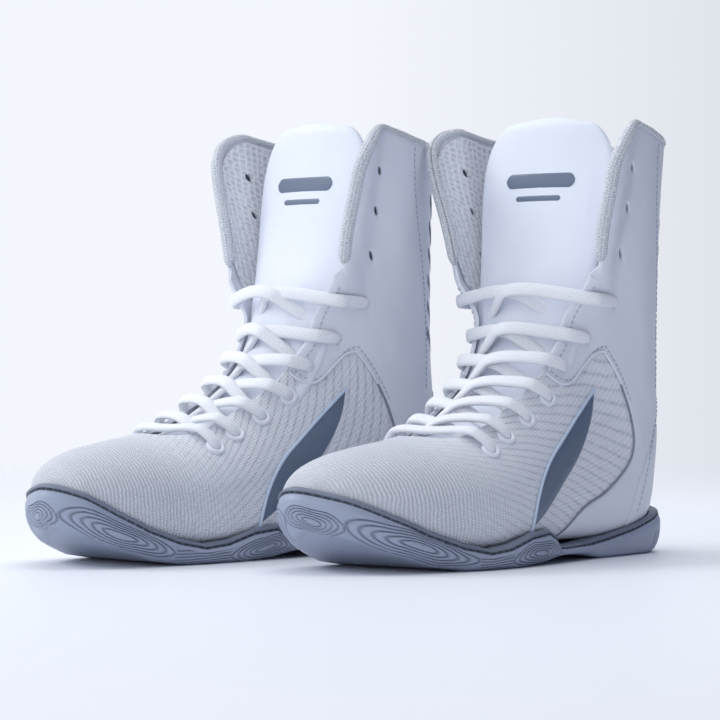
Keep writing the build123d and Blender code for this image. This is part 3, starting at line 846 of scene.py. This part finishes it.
def with_shade_discs(parts, rows, side, radius):
    """A panel with a disc of painted shade down in each of its holes, and each face's material."""
    discs = []
    for loop in hole_loops(rows, side, radius):
        # each disc is painted shade under the hole
        top, low = (skin(loop, np.full(HOLE_SIDES, lift)) for lift in DISC_LIFTS)
        after = [(k + 1) % HOLE_SIDES for k in range(HOLE_SIDES)]
        ring = [(k, k + HOLE_SIDES, n + HOLE_SIDES, n) for k, n in enumerate(after)]
        faces = [tuple(range(HOLE_SIDES)), tuple(range(HOLE_SIDES, 2 * HOLE_SIDES))[::-1], *ring]
        discs.append((np.concatenate([top, low]), faces, np.concatenate([loop, loop])))
    whole = joined(parts, *discs)
    indices = (np.arange(len(whole[1])) >= len(parts[1])).astype(int)
    return (*whole, indices)


def sheet_line(points, step=1.8):
    """Sheet places along a side view line of the lateral side."""
    line = through(points, step)
    return on_side(line[:, 0], line[:, 1])


def cup_line(start, end, drop):
    """Sheet places along the cup's edge, lowered, from one place forward to another."""
    forward = np.arange(start, end, 2.0 if end > start else -2.0)
    return on_side(forward, along_line(CUP_EDGE, forward) - drop)


MESH_LINE = sheet_line(MESH_EDGE)
LOBE_LINE = sheet_line([MESH_EDGE[-1], *LOBE])
FACING_LINE = through(np.array([on_front(*p) for p in FACING]), 1.8)
FRONT_LINE = sheet_line(FRONT_EDGE)
COLLAR_LINE = sheet_line(COLLAR)
HEEL_LINE = sheet_line(HEEL_EDGE)
THROAT_LINE = through(np.array([on_front(*p) for p in THROAT]), 1.8)


def quarter_outline():
    """The lateral outline of quarter and flap as one sheet."""
    back = straight([COLLAR_LINE[-1], HEEL_LINE[0]], 2.0)
    bottom = cup_line(60, 136, LOW_EDGE_DROP)
    return np.concatenate([
        MESH_LINE[1:-1], LOBE_LINE[:-1], FACING_LINE, FRONT_LINE[:-1], COLLAR_LINE[:-1],
        back[:-1], HEEL_LINE[:-1], bottom,
    ])


def knit_outline():
    """The outline of the knit over both sides and the toes."""
    lateral = np.concatenate([
        cup_line(283, 140, LOW_EDGE_DROP), MESH_LINE[1:-1], LOBE_LINE[:-1],
        THROAT_LINE[::-1][:-1],
    ])
    middle = np.array([[THROAT_LINE[0][0], pi * AROUND]])
    nose = np.array([[0.4, lateral[0][1]]])
    return np.concatenate([nose, lateral, middle, other_side(lateral[::-1]), other_side(nose)])


def make_knit():
    """Knit forefoot."""
    rows = slice(0, RINGED_ROWS)
    holes = hole_loops(rows, 1, RING_HOLE) + hole_loops(rows, -1, RING_HOLE)
    sheet = panel(knit_outline(), lift=0.0, thick=2.2, holes=holes, drop=0.5, grid=2.8)
    left = with_shade_discs(sheet, rows, 1, RING_HOLE + DISC_MARGIN)
    both = with_shade_discs(left[:3], rows, -1, RING_HOLE + DISC_MARGIN)
    return (*both[:3], (np.arange(len(both[1])) >= len(sheet[1])).astype(int))


def make_quarter(side):
    """Smooth quarter with its collar flap, in one sheet."""
    outline = for_side(quarter_outline(), side)
    rows = slice(RINGED_ROWS, len(ROWS))
    sheet = panel(outline, lift=0.55, thick=2.3, holes=hole_loops(rows, side, PUNCHED_HOLE), drop=0.8)
    return with_shade_discs(sheet, rows, side, PUNCHED_HOLE + DISC_MARGIN)


def lining_outline():
    """The lateral outline of the lining, inside the quarter's upper half."""
    top = sheet_line([(107, 165), (107.5, 195), (107.5, 212), (105, 222), (99, 230), (91, 234.5),
                      (80, 233), (62, 229), (30, 226), (8, 226)])
    low = sheet_line([(8, 130), (40, 128), (78, 130), (94, 140), (103, 152)])
    return np.concatenate([top[:-1], low])


def make_lining(side):
    """Honeycomb lining of the shaft and flap."""
    outline = for_side(lining_outline(), side)
    holes = hole_loops(slice(LACED_ROWS, len(ROWS)), side, PUNCHED_HOLE)
    return panel(outline, lift=-2.0, thick=1.5, holes=holes, drop=0.3, grid=3.6)


def make_roll(side):
    """Padded knit roll round the flap's front edge, thinning to a binding along the top."""
    line = sheet_line([(108.5, 162), (109.5, 176), (109.8, 195), (109.8, 212), (107.3, 223.5),
                       (100.3, 233.5), (91, 237.8), (82, 236.5), (62, 232.5), (46, 230.8)], 2.0)
    line = for_side(line, side)
    points = skin(line, np.full(len(line), -0.9))
    lengths = lengths_along(points)
    thin = smooth((lengths - 68) / 22)
    ends = np.sqrt(np.clip(np.minimum(lengths + 0.6, lengths[-1] - lengths + 1.5) / 5, 0.08, 1))
    wide = (3.7 - 1.7 * thin) * ends
    thick = (3.1 - 0.9 * thin) * ends
    return tube(points, skin_normal(line), wide, thick, sides=20, power=2.2)


def make_rear_binding():
    """Thin binding along the collar's rear."""
    half = sheet_line([(42, 230.4), (30, 229.4), (10, 229.4)], 2.0)
    half = np.concatenate([half, straight([half[-1], [half[-1][0], 0.0]], 2.0)[1:]])
    line = np.concatenate([half, (half * [1, -1])[::-1][1:]])
    return tube(skin(line, np.full(len(line), -0.9)), skin_normal(line), 2.0, 2.2, sides=14)


def make_backstay():
    """Band over the back seam, from the heel cover up to the collar."""
    half = sheet_line([(42, 231), (31, 190), (29, 150), (30, 115), (34, 84)], 2.4)
    low = sheet_line([(34, 70), (20, 76.5), (9, 78)], 2.4)
    side = np.concatenate([half, low])
    top = straight([[side[0][0], 0.0], side[0]], 2.4)
    rim = np.concatenate([top[:-1], side])
    outline = np.concatenate([rim, (rim * [1, -1])[::-1][:-1]])
    return panel(outline, lift=0.2, thick=2.4, drop=0.3)


def make_heel():
    """Smooth heel cover down into the cup."""
    side = np.concatenate([HEEL_LINE[:-1], cup_line(58, 6, LOW_EDGE_DROP)])
    outline = np.concatenate([side, (side * [1, -1])[::-1]])
    keep = np.ones(len(outline), bool)
    keep[1:] = np.linalg.norm(np.diff(outline, axis=0), axis=1) > 0.3
    return panel(outline[keep], lift=0.75, thick=2.6, drop=0.8)


def on_surface_line(line, lift, wide, thick, side):
    """A thin raised line over the upper."""
    line = for_side(line, side)
    return tube(skin(line, np.full(len(line), lift)), skin_normal(line), wide, thick, sides=10, power=2)


def inlay_outline():
    """The lateral outline of the slanted tapering inlay."""
    front = through(INLAY_FRONT, 2.0)
    rear = through([INLAY_FRONT[-1], *INLAY_REAR, INLAY_FRONT[0]], 2.0)
    ring = np.concatenate([front[:-1], rear[:-1]])
    return on_side(ring[:, 0], ring[:, 1])


def make_inlay(side):
    """Slanted tapering inlay."""
    outline = for_side(inlay_outline(), side)
    return panel(outline, lift=0.85, thick=0.9, drop=0.5, grid=3.4)


def inlay_rim(side):
    """Pale edge along the front of the inlay, which runs on down to the cup."""
    line = sheet_line([(160, 15), *INLAY_FRONT])
    return on_surface_line(line, 0.75, 0.95, 0.75, side)


def ring_profile(spot):
    """One eyelet ring over a sheet place."""
    centre, normal = skin(spot), skin_normal(spot)
    first = np.cross(normal, [0.0, 0.0, 1.0])
    first /= np.linalg.norm(first)
    second = np.cross(normal, first)
    turn = full_turn(RING_SIDES)
    around = np.cos(turn)[:, None] * first + np.sin(turn)[:, None] * second
    middle = (RING_OUTER + RING_HOLE) / 2
    line = centre + around * middle + normal * 0.35
    normals = np.tile(normal, (RING_SIDES, 1))
    return tube(line, normals, (RING_OUTER - RING_HOLE) / 2, 1.15, sides=12, power=2.3, closed=True)


def lace_middle(index, lift):
    """A point over the middle of the foot, lifted square to the line of the crossings."""
    line = np.array(CROSSINGS, float)
    run = line[min(index + 1, len(line) - 1)] - line[max(index - 1, 0)]
    run /= np.linalg.norm(run)
    return np.array([line[index][0] + lift * run[1], 0.0, line[index][1] - lift * run[0]]), \
        np.array([run[1], 0.0, -run[0]])


def dive(spot, middle):
    """Points and normals of a strand's end: over the facing, and down into its eyelet."""
    place, normal = skin(spot), skin_normal(spot)
    reach = middle - place
    inward = reach - normal * (reach @ normal)
    inward /= np.linalg.norm(inward)
    far = 1.5 if place[2] > 135 else 1.0
    lifts = np.array([2.6 * far, 3.1, 2.8, 0.6, -2.4, -5.5])[:, None]
    backs = np.array([15.0 * far, 8.0 * far, 2.6, -0.4, -0.5, -0.3])[:, None]
    points = place + normal * lifts + inward * backs
    points = splay(points) - (splay(place) - place)
    return list(points), [normal, normal, normal - 0.3 * inward, -inward, -inward, -inward]


def strand(points, tilts, wide, thick):
    """A flat soft lace strand past its points."""
    sizes = np.stack([wide, thick], axis=1)
    rows = np.concatenate([np.array(points), np.array(tilts), sizes], axis=1)
    line = soft_line(rows, 1.3)
    ups = unit(line[:, 3:6])
    return tube(line[:, :3], ups, line[:, 6], line[:, 7], sides=14, power=2.5)


def make_laces():
    """The bar over the first row and the crossing strands above it."""
    spots = {1: row_spots(1), -1: row_spots(-1)}
    taper_wide = [LACE_WIDE, LACE_WIDE, LACE_WIDE * 0.95, 2.6, 2.3, 2.3]
    taper_thick = [LACE_THICK, LACE_THICK, LACE_THICK * 1.05, 2.2, 2.2, 2.2]
    middle, up = lace_middle(0, -1.5)
    first, first_up = dive(spots[1][0], middle)
    last, last_up = dive(spots[-1][0], middle)
    parts = [strand(
        first[::-1] + [middle] + last, first_up[::-1] + [up] + last_up,
        taper_wide[::-1] + [LACE_WIDE] + taper_wide, taper_thick[::-1] + [LACE_THICK] + taper_thick,
    )]
    for row in range(LACED_ROWS - 1):
        for side, lift in ((1, -3.6), (-1, 0.6)):
            middle, up = lace_middle(row + 1, lift)
            place, normal = skin(spots[side][row]), skin_normal(spots[side][row])
            reach = middle - place
            inward = reach - normal * (reach @ normal)
            inward /= np.linalg.norm(inward)
            under = [place - normal * 5.2, place - normal * 5.0 + inward * 7]
            run_in = (place - normal * 5.0 + inward * 7) * 0.45 + middle * 0.55 + up * (0.2 * lift)
            target, target_up = dive(spots[-side][row + 1], middle)
            points = under + [run_in, middle] + target
            tilts = [normal, normal, up, up] + target_up
            parts.append(strand(
                points, tilts, [LACE_WIDE * 0.9, LACE_WIDE, LACE_WIDE, LACE_WIDE] + taper_wide,
                [LACE_THICK] * 4 + taper_thick,
            ))
    return joined(*parts)


def tongue_rows():
    """Fine rows along the tongue's middle, with the direction square to it."""
    rows = through(TONGUE, 2.6)
    run = unit(np.gradient(rows[:, :2], axis=0))
    return rows, np.stack([run[:, 1], -run[:, 0]], axis=1)


def tongue_point(row, square, across, out):
    """Points of the tongue at a sideways place, with a height over its middle sheet."""
    bow = row[3] * across**2
    return np.stack([row[0] + square[0] * (out - bow), across, row[1] + square[1] * (out - bow)], axis=-1)


def make_tongue():
    """Padded tongue as one soft closed form."""
    rows, squares = tongue_rows()
    lengths = lengths_along(rows[:, :2])
    left = lengths[-1] - lengths
    sides = 44
    turn = full_turn(sides)
    swing = bulge(np.cos(turn), 0.8)
    climb = bulge(np.sin(turn), 0.62)
    points, maps = [], []
    for row, square, rest, reach in zip(rows, squares, left, lengths):
        corner = (1 - (1 - np.clip(rest / 40, 0, 1)) ** 2.5) ** 0.5
        half = max(row[2] * (0.36 + 0.64 * corner) * min(1, 0.25 + rest / 5), 1.0)
        thick = TONGUE_THICK * (1 - (1 - min(rest / 7, 1)) ** 2) ** 0.5 + 0.25
        ridge = 0.5 * np.exp(-(((np.abs(half * swing) - half + 6) / 1.2) ** 2))
        out = thick * climb * (1 - 0.12 * swing**2) - ridge * (climb > 0.3)
        points.append(tongue_point(row, square, half * swing, out))
        maps.append(np.stack([np.full(sides, reach), half * swing + 50 * (climb < 0)], axis=1))
    faces = []
    for a in range(len(rows) - 1):
        for k in range(sides):
            n = (k + 1) % sides
            faces.append((a * sides + k, a * sides + n, (a + 1) * sides + n, (a + 1) * sides + k))
    faces.append(tuple(range(sides))[::-1])
    faces.append(tuple(range((len(rows) - 1) * sides, len(rows) * sides)))
    faces = [face[::-1] for face in faces]
    return np.concatenate(points), faces, np.concatenate(maps)


def make_bars():
    """Two plain rounded bars on the front of the tongue."""
    rows, squares = tongue_rows()
    parts = []
    for up, half, tall in BARS:
        index = int(np.argmin(np.abs(rows[:, 1] - up)))
        row, square = rows[index], squares[index]
        across = np.linspace(-half, half, BAR_POINTS)
        line = tongue_point(row, square, across, TONGUE_THICK * 0.985 * (1 - 0.12 * (across / row[2]) ** 2))
        ups = np.tile([square[0], 0.0, square[1]], (BAR_POINTS, 1))
        ends = np.sqrt(np.clip(1 - ((np.abs(across) - half + tall) / tall).clip(0, 1) ** 2, 0.03, 1))
        parts.append(tube(line, ups, tall * ends, 0.45, sides=16, power=5))
    return joined(*parts)


# ---------------------------------------------------------------- sole
PLAN = through(SOLE_PLAN, SOLE_STEP, closed=True)


def plan_normals():
    """Outward directions round the sole's plan outline."""
    run = unit(np.roll(PLAN, -3, axis=0) - np.roll(PLAN, 3, axis=0))
    return np.stack([-run[:, 1], run[:, 0]], axis=1)


def cup_plan():
    """The plan outline, a little wider where the upper would reach past it."""
    square = plan_normals()
    edge = along_line(CUP_EDGE, PLAN[:, 0])
    gaps = [upper_gap(PLAN, square, edge + level) for level in (0.5, -4.0)]
    need = np.clip(2.7 - np.minimum(*gaps), 0, 5)
    near = np.max([np.roll(need, k) for k in range(-8, 9)], axis=0)
    soft = np.mean([np.roll(near, k) for k in range(-8, 9)], axis=0)
    return PLAN + square * soft[:, None], square


def upper_gap(spots, square, up):
    """How far inside the plan outline the upper's side is, at a height."""
    low, high = np.full(len(spots), -2.0), np.full(len(spots), 22.0)
    for _ in range(24):
        middle = (low + high) / 2
        test = spots - square * middle[:, None]
        sheet = on_side(test[:, 0], up)
        station = np.interp(sheet[:, 0], LENGTHS, FINE)
        row = section_at(station)
        reach = np.abs(upper(station, sheet[:, 1] / AROUND)[:, 1] - row[:, 4])
        ahead = test[:, 0] > 286.5
        within = (np.abs(test[:, 1] - row[:, 4]) < reach) & ~ahead
        high = np.where(within, middle, high)
        low = np.where(within, low, middle)
    return high


def pulses(phase, width=0.16):
    """Narrow rounded grooves at whole numbers of the phase, from 0 to 1 deep."""
    off = np.abs(phase - np.round(phase))
    return np.clip(1 - (off / width) ** 2, 0, 1)


def sole_pattern(around, level, spots):
    """Moulded lines in the hull, 0 to 1 deep: skewed ovals at the toe, arcs along the side."""
    depth = np.zeros(level.shape)
    total = around[-1] + SOLE_STEP
    for centre, half, middle, tall, skew in OVALS:
        at = around[int(np.argmin(((spots - centre) ** 2).sum(1)))]
        off = (around - at + total / 2) % total - total / 2
        x = (off[:, None] + skew * (level - middle)) / half
        sway = 0.035 * np.sin(x * 5 + centre[0])
        radius = np.sqrt(x**2 + ((level + sway - middle) / tall) ** 2)
        depth = np.maximum(depth, pulses(radius * 5.5 + 0.5, 0.22) * (radius < 1.05) * (radius > 0.12))
    taken = depth.max(1) > 0
    run = (spots[:, 0] - 190) / 46
    arch = (level - 0.1 - 0.55 * np.clip(1 - run**2, 0, 1)[:, None]) * 6
    lines = pulses(arch, 0.2) * (level > 0.08) * (level < 0.8) * (np.abs(run) < 1.1)[:, None]
    depth = np.where(taken[:, None], depth, lines * 0.8)
    rear = (spots[:, 0] < 30)[:, None] & (level < 0.62)
    cuts = pulses(around[:, None] / 4.4 + level * 1.3, 0.2) * rear * (level > 0.12)
    return np.maximum(depth, cuts) * (level > 0.03)


def band_height(edge, floor):
    """Height of the band round the cup's edge."""
    return np.minimum(BAND_HEIGHT, BAND_SHARE * (edge - floor))


def sole_base(outline):
    """Points of the tread inside the cup's lowest ring, and its triangles, which face down."""
    flat, triangles, _ = fill_loop(outline, (), 5.0)
    base = np.concatenate([flat, np.maximum(along_line(TREAD, flat[:, 0]), 0)[:, None]], axis=1)
    first, second, third = base[triangles[0]]
    faces_down = np.cross(second - first, third - first)[2] < 0
    return base, triangles if faces_down else triangles[:, ::-1]


def make_outsole():
    """Cupped rubber sole with its band and moulded lines, and how deep in a line each point is."""
    plan, square = cup_plan()
    around = lengths_along(PLAN)
    under = np.interp(PLAN[:, 0], [0, 20, 120, 230, 275], [8, 6, 5, 9, 13])
    floor = along_line(TREAD, plan[:, 0] - square[:, 0] * under)
    edge = along_line(CUP_EDGE, PLAN[:, 0])
    lean = np.clip(upper_gap(plan, square, edge + 0.5), 1.5, 12) - 1.2
    band = band_height(edge, floor)
    level = np.linspace(0, 1, SOLE_RINGS)[None, :] * np.ones((len(PLAN), 1))
    pattern = sole_pattern(around, level, PLAN)
    curve = np.sqrt(np.clip(1 - (1 - np.clip(level / 0.72, 0, 1)) ** 2, 0, 1))
    hull_out = -under[:, None] * (1 - curve) - 1.1 * smooth((level - 0.82) / 0.18) - 0.9 * pattern
    hull_up = floor[:, None] + (edge - floor - band)[:, None] * level
    sideways, share = np.array(BAND_SHAPE).T[:, None]
    band_out = sideways - (lean[:, None] - 1.0) * share**2 * 0.55
    band_up = edge[:, None] - band[:, None] * (1 - share)
    inner_out = np.stack([-lean * part - 0.3 for part, _ in INNER_SHAPE], axis=1)
    inner_up = np.stack([np.maximum(edge + drop, floor + 2) for _, drop in INNER_SHAPE], axis=1)
    out = np.concatenate([hull_out, band_out, inner_out], axis=1)
    ups = np.concatenate([hull_up, band_up, inner_up], axis=1)
    flat = plan[:, None] + square[:, None] * out[..., None]
    wall = np.concatenate([flat, np.maximum(ups, 0.0)[..., None]], axis=-1)
    count, rings = wall.shape[:2]
    first = np.arange(count)[:, None] * rings + np.arange(rings - 1)[None]
    after = (np.arange(count)[:, None] + 1) % count * rings + np.arange(rings - 1)[None]
    wall_faces = np.stack([first, first + 1, after + 1, after], axis=-1).reshape(-1, 4)
    base, down = sole_base(flat[::3, 0])
    roof = base + [0, 0, TREAD_THICK]
    points = np.concatenate([wall.reshape(-1, 3), base, roof])
    base_faces = (down + count * rings).tolist()
    roof_faces = (down[:, ::-1] + count * rings + len(base)).tolist()
    faces = wall_faces.tolist() + base_faces + roof_faces
    wall_map = np.stack(np.broadcast_arrays(around[:, None], ups), axis=-1)
    maps = np.concatenate([wall_map.reshape(-1, 2), base[:, :2], base[:, :2]])
    indices = np.zeros(len(faces), int)
    indices[: len(wall_faces)] = np.arange(len(wall_faces)) % (rings - 1) >= SOLE_RINGS - 1
    # how deep in a groove each point is, which the hull's material turns into painted shade
    grooves = np.zeros((count, rings))
    grooves[:, :SOLE_RINGS] = pattern
    grooves = np.concatenate([grooves.ravel(), np.zeros(2 * len(base))])
    return (points, faces, maps, indices), grooves


def sole_stitches():
    """Dark stitches in the groove under the cup's band."""
    plan, square = cup_plan()
    floor = along_line(TREAD, PLAN[:, 0])
    edge = along_line(CUP_EDGE, PLAN[:, 0])
    band = band_height(edge, floor)
    line = np.concatenate([plan - square * 1.75, (edge - band * 0.84)[:, None]], axis=1)
    lengths = lengths_along(line)
    parts = []
    for start in np.arange(1.0, lengths[-1] - 4, 5.4):
        where = start + 4.2 * np.array([0, 0.15, 0.85, 1])
        spots = np.stack([np.interp(where, lengths, line[:, k]) for k in range(3)], axis=1)
        ups = np.stack([np.interp(where, lengths, square[:, k]) for k in range(2)] + [0 * where], axis=1)
        size = np.array([0.4, 1, 1, 0.4])
        parts.append(tube(spots, ups, 0.62 * size, 0.5 * size, sides=6, power=2))
    return joined(*parts)


def make_filler():
    """Foam wedge between the cup's floor and the upper."""
    outline = PLAN[::4] - plan_normals()[::4] * 8.5
    flat, faces, _ = fill_loop(outline, (), 7.0)
    floor = np.maximum(along_line(TREAD, flat[:, 0]), 0) + 2.4
    roof = np.maximum(along_line(CUP_EDGE, flat[:, 0]) - 4.5, floor + 0.6)
    area = np.cross(flat[faces[:, 1]] - flat[faces[:, 0]], flat[faces[:, 2]] - flat[faces[:, 0]])
    faces = np.where((area > 0)[:, None], faces, faces[:, ::-1])
    top = np.concatenate([flat, roof[:, None]], axis=1)
    bottom = np.concatenate([flat, floor[:, None]], axis=1)
    points, all_faces = close_sheet(top, bottom, faces)
    return points, all_faces, np.concatenate([flat, flat])


# ---------------------------------------------------------------- free lace ends
def make_tail(boot, side, name):
    """One free lace end inside the boot, along the frame's own route."""
    route = [(forward, side * across, up) for forward, across, up in TAIL_ROUTE]
    spots = world(route, boot)
    curve = bpy.data.curves.new(boot + "_" + name, "CURVE")
    curve.dimensions = "3D"
    spline = curve.splines.new("NURBS")
    spline.points.add(len(spots) - 1)
    for point, spot in zip(spline.points, spots):
        point.co = (*spot, 1.0)
    spline.order_u = 3
    spline.use_endpoint_u = True
    spline.resolution_u = 12
    curve.bevel_depth = LACE_DIAMETER / 2 * MM
    curve.bevel_resolution = 4
    curve.use_fill_caps = True
    curve.materials.append(LOOKS["tail"])
    piece = bpy.data.objects.new(boot + "_" + name, curve)
    bpy.context.scene.collection.objects.link(piece)
    return piece, spots


def make_tip(side):
    """Smooth tip on a free lace end."""
    end = np.array(TAIL_ROUTE[-1]) * [1, side, 1]
    run = end - np.array(TAIL_ROUTE[-2]) * [1, side, 1]
    run /= np.linalg.norm(run)
    line = end + run * np.array([-3.0, -2.8, 4.0, 10.0, 15.5, 16.0])[:, None]
    size = np.array([0.9, 1, 1, 0.96, 0.9, 0.5]) * (LACE_DIAMETER / 2 + 0.15)
    return tube(line, np.tile([0.0, 0.0, 1.0], (6, 1)), size, size, sides=16, power=2)


# ---------------------------------------------------------------- camera and light
def make_camera():
    """Long lens near the floor, turned between the toes and one side of the pair."""
    turn, lift = radians(VIEW_TURN), radians(VIEW_LIFT)
    away = np.array([sin(turn) * cos(lift), -cos(turn) * cos(lift), sin(lift)])
    right = np.array([cos(turn), sin(turn), 0.0])
    above = np.cross(right, -away)
    spot = (np.array(TARGET) + away * VIEW_DISTANCE) * MM
    aim = (np.array(TARGET) - right * VIEW_ASIDE[0] - above * VIEW_ASIDE[1]) * MM
    data = bpy.data.cameras.new("camera")
    data.lens = VIEW_LENS
    camera = bpy.data.objects.new("camera", data)
    camera.location = spot
    camera.rotation_euler = (Vector(aim) - Vector(spot)).to_track_quat("-Z", "Y").to_euler()
    bpy.context.scene.collection.objects.link(camera)
    bpy.context.scene.camera = camera


def area_light(name, spot, size, power, colour):
    """A square soft light that faces the boots."""
    data = bpy.data.lights.new(name, "AREA")
    data.size = size
    data.energy = power
    data.color = colour
    light = bpy.data.objects.new(name, data)
    light.location = spot
    light.rotation_euler = (Vector((0, 0, 0.1)) - Vector(spot)).to_track_quat("-Z", "Y").to_euler()
    bpy.context.scene.collection.objects.link(light)


def make_floor():
    """Pale floor that fades out into the surround."""
    mesh = bpy.data.meshes.new("floor")
    turns = [2 * pi * k / FLOOR_SIDES for k in range(FLOOR_SIDES)]
    rim = [(FLOOR_REACH * cos(turn), FLOOR_REACH * sin(turn), 0) for turn in turns]
    mesh.from_pydata(rim, [], [list(range(FLOOR_SIDES))])
    floor = bpy.data.objects.new("floor", mesh)
    bpy.context.scene.collection.objects.link(floor)
    material, tree, shader = new_material("pale_floor", (0.86, 0.88, 0.93), 0.5)
    distance = vector_value(tree, "LENGTH", place_in(tree, "Object"))
    fade = map_range(tree, distance, FLOOR_FADE, (1.0, 0.0), "SMOOTHSTEP")
    tree.links.new(fade, shader.inputs["Alpha"])
    mesh.materials.append(material)


def make_surround():
    """Surround that is pale all round except for a dark part to one side."""
    surround = bpy.data.worlds.new("surround")
    surround.use_nodes = True
    tree = surround.node_tree
    towards = vector_value(tree, "DOT_PRODUCT", place_in(tree, "Generated"), DARK_WAY)
    colour = mix_colours(tree, map_range(tree, towards, DARK_RANGE), (0.9, 0.925, 0.985), (0.1, 0.12, 0.18))
    tree.links.new(colour, tree.nodes["Background"].inputs["Color"])
    bpy.context.scene.world = surround


def materials_of(parts, look):
    """A piece's material, and the painted shade one for the discs in its holes."""
    return [LOOKS[look], LOOKS["hole_shade"]][: len(parts) - 2]


def build_boot(boot):
    """Every look of one boot, each on its body except the side skins and the padded tongue."""
    body = boot + "_boot"

    def lay(name, parts, look, slot, *nodes, on=body):
        piece = put(boot, name, parts, materials_of(parts, look))
        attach(piece, on)
        if nodes:
            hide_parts(*[boot + "_" + node for node in nodes])
        return piece

    for name, side in (("lateral", 1), ("medial", -1)):
        tail, spots = make_tail(boot, side, name + "_lace_end")
        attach(tail, body)
        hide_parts(f"{boot}_lace_tail_{name}")
        tip = lay(name + "_lace_tip", MESHES["tip", side], "tip", "aglet", *(["aglets"] if side > 0 else []))

    lay("knit_forefoot", MESHES["knit"], "knit", "knit_mesh", "vamp")
    lay("heel_panel", MESHES["heel"], "smooth", "synthetic", "heel_cover")
    lay("back_band", MESHES["backstay"], "smooth", "synthetic", "backstay")
    lay("rear_binding", MESHES["binding"], "roll", "binding", "collar_binding")
    lay("eyelet_rings", MESHES["rings"], "ring", "eyelet", "eyelets")
    lay("lacing", MESHES["laces"], "lace", "lace", "laces")
    lay("foam_filler", MESHES["filler"], "foam", "foam", "midsole")
    lay("cup_stitches", MESHES["cup_stitches"], "dark_thread", "thread", "sole_stitching")
    parts, grooves = MESHES["outsole"]
    sole = put(boot, "cup_sole", parts, [LOOKS["hull"], LOOKS["band"]])
    sole.data.attributes.new("groove", "FLOAT", "POINT").data.foreach_set("value", grooves.astype(np.float32))
    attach(sole, body)
    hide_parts(boot + "_outsole")
    for name, side in (("lateral", 1), ("medial", -1)):
        for label, look, slot, nodes in (
            ("quarter", "smooth", "synthetic", ("quarter", "flap")),
            ("lining", "lining", "lining", ("flap_lining",)),
            ("roll", "roll", "binding", ("piping",)),
        ):
            parts = MESHES[label, side]
            piece = put(boot, f"{name}_{label}_skin", parts, materials_of(parts, look))
            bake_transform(piece)
            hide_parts(*[f"{boot}_{name}_{node}" for node in nodes])
        lay(name + "_blade", MESHES["inlay", side], "slate", "slate_trim", name + "_inlay")
        lay(name + "_blade_rim", MESHES["rim", side], "rim", "slate_trim")
        lay(name + "_seam_stitches", MESHES["stitches", side], "thread", "thread")
        lay(name + "_facing_cord", MESHES["cord", side], "smooth", "synthetic")
        lay(name + "_panel_seam", MESHES["seam", side], "seam", "synthetic")
    tongue = put(boot, "padded_tongue", MESHES["tongue"], [LOOKS["tongue"]])
    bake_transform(tongue)
    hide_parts(boot + "_tongue_lower", boot + "_tongue_upper")
    lay("tongue_bars", MESHES["bars"], "slate", "slate_trim", "tongue_patch", on=boot + "_tongue_top")


def finish_nodes():
    """Materials of the frame's own nodes that stay visible."""
    looks = {"insole_board": "board", "toe_puff": "board", "heel_counter": "board", "sock_liner": "sock",
             "back_vents": "slate"}
    for name, node in frame["nodes"].items():
        look = looks.get(name.split("_", 1)[1])
        if look:
            node.data.materials.clear()
            node.data.materials.append(LOOKS[look])


def side_meshes(side):
    """The meshes that each side of a boot has."""
    makers = {"tip": make_tip, "quarter": make_quarter, "lining": make_lining, "roll": make_roll,
              "inlay": make_inlay, "rim": inlay_rim}
    for name, make in makers.items():
        MESHES[name, side] = make(side)
    edge = np.concatenate([LOBE_LINE[::-1], MESH_LINE[::-1][: len(MESH_LINE) // 4]])
    seams = [(FACING_LINE - [0, 4.6], 0.8), (edge + [2.8, 0], 0.8), (sheet_line(BACK_SEAM), 0.8),
             (sheet_line(COUNTER_SEAM), 0.85)]
    MESHES["stitches", side] = joined(*[stitches(for_side(line, side), lift) for line, lift in seams])
    cord = np.concatenate([LOBE_LINE[::-1], MESH_LINE[::-1][1:14]])
    MESHES["cord", side] = on_surface_line(cord, 0.7, 0.9, 0.9, side)
    MESHES["seam", side] = on_surface_line(MESH_LINE[2:-12], 0.35, 0.5, 0.4, side)


make_camera()
MESHES = {
    "knit": make_knit(),
    "heel": make_heel(),
    "backstay": make_backstay(),
    "binding": make_rear_binding(),
    "rings": joined(*[ring_profile(spot) for side in (1, -1) for spot in row_spots(side)[:RINGED_ROWS]]),
    "laces": make_laces(),
    "filler": make_filler(),
    "cup_stitches": sole_stitches(),
    "outsole": make_outsole(),
    "tongue": make_tongue(),
    "bars": make_bars(),
}
for boot_side in (1, -1):
    side_meshes(boot_side)
for boot_name in PLACES:
    build_boot(boot_name)
finish_nodes()
make_floor()
make_surround()
for light in LIGHTS:
    area_light(*light)
bpy.context.scene.view_settings.view_transform = "Standard"
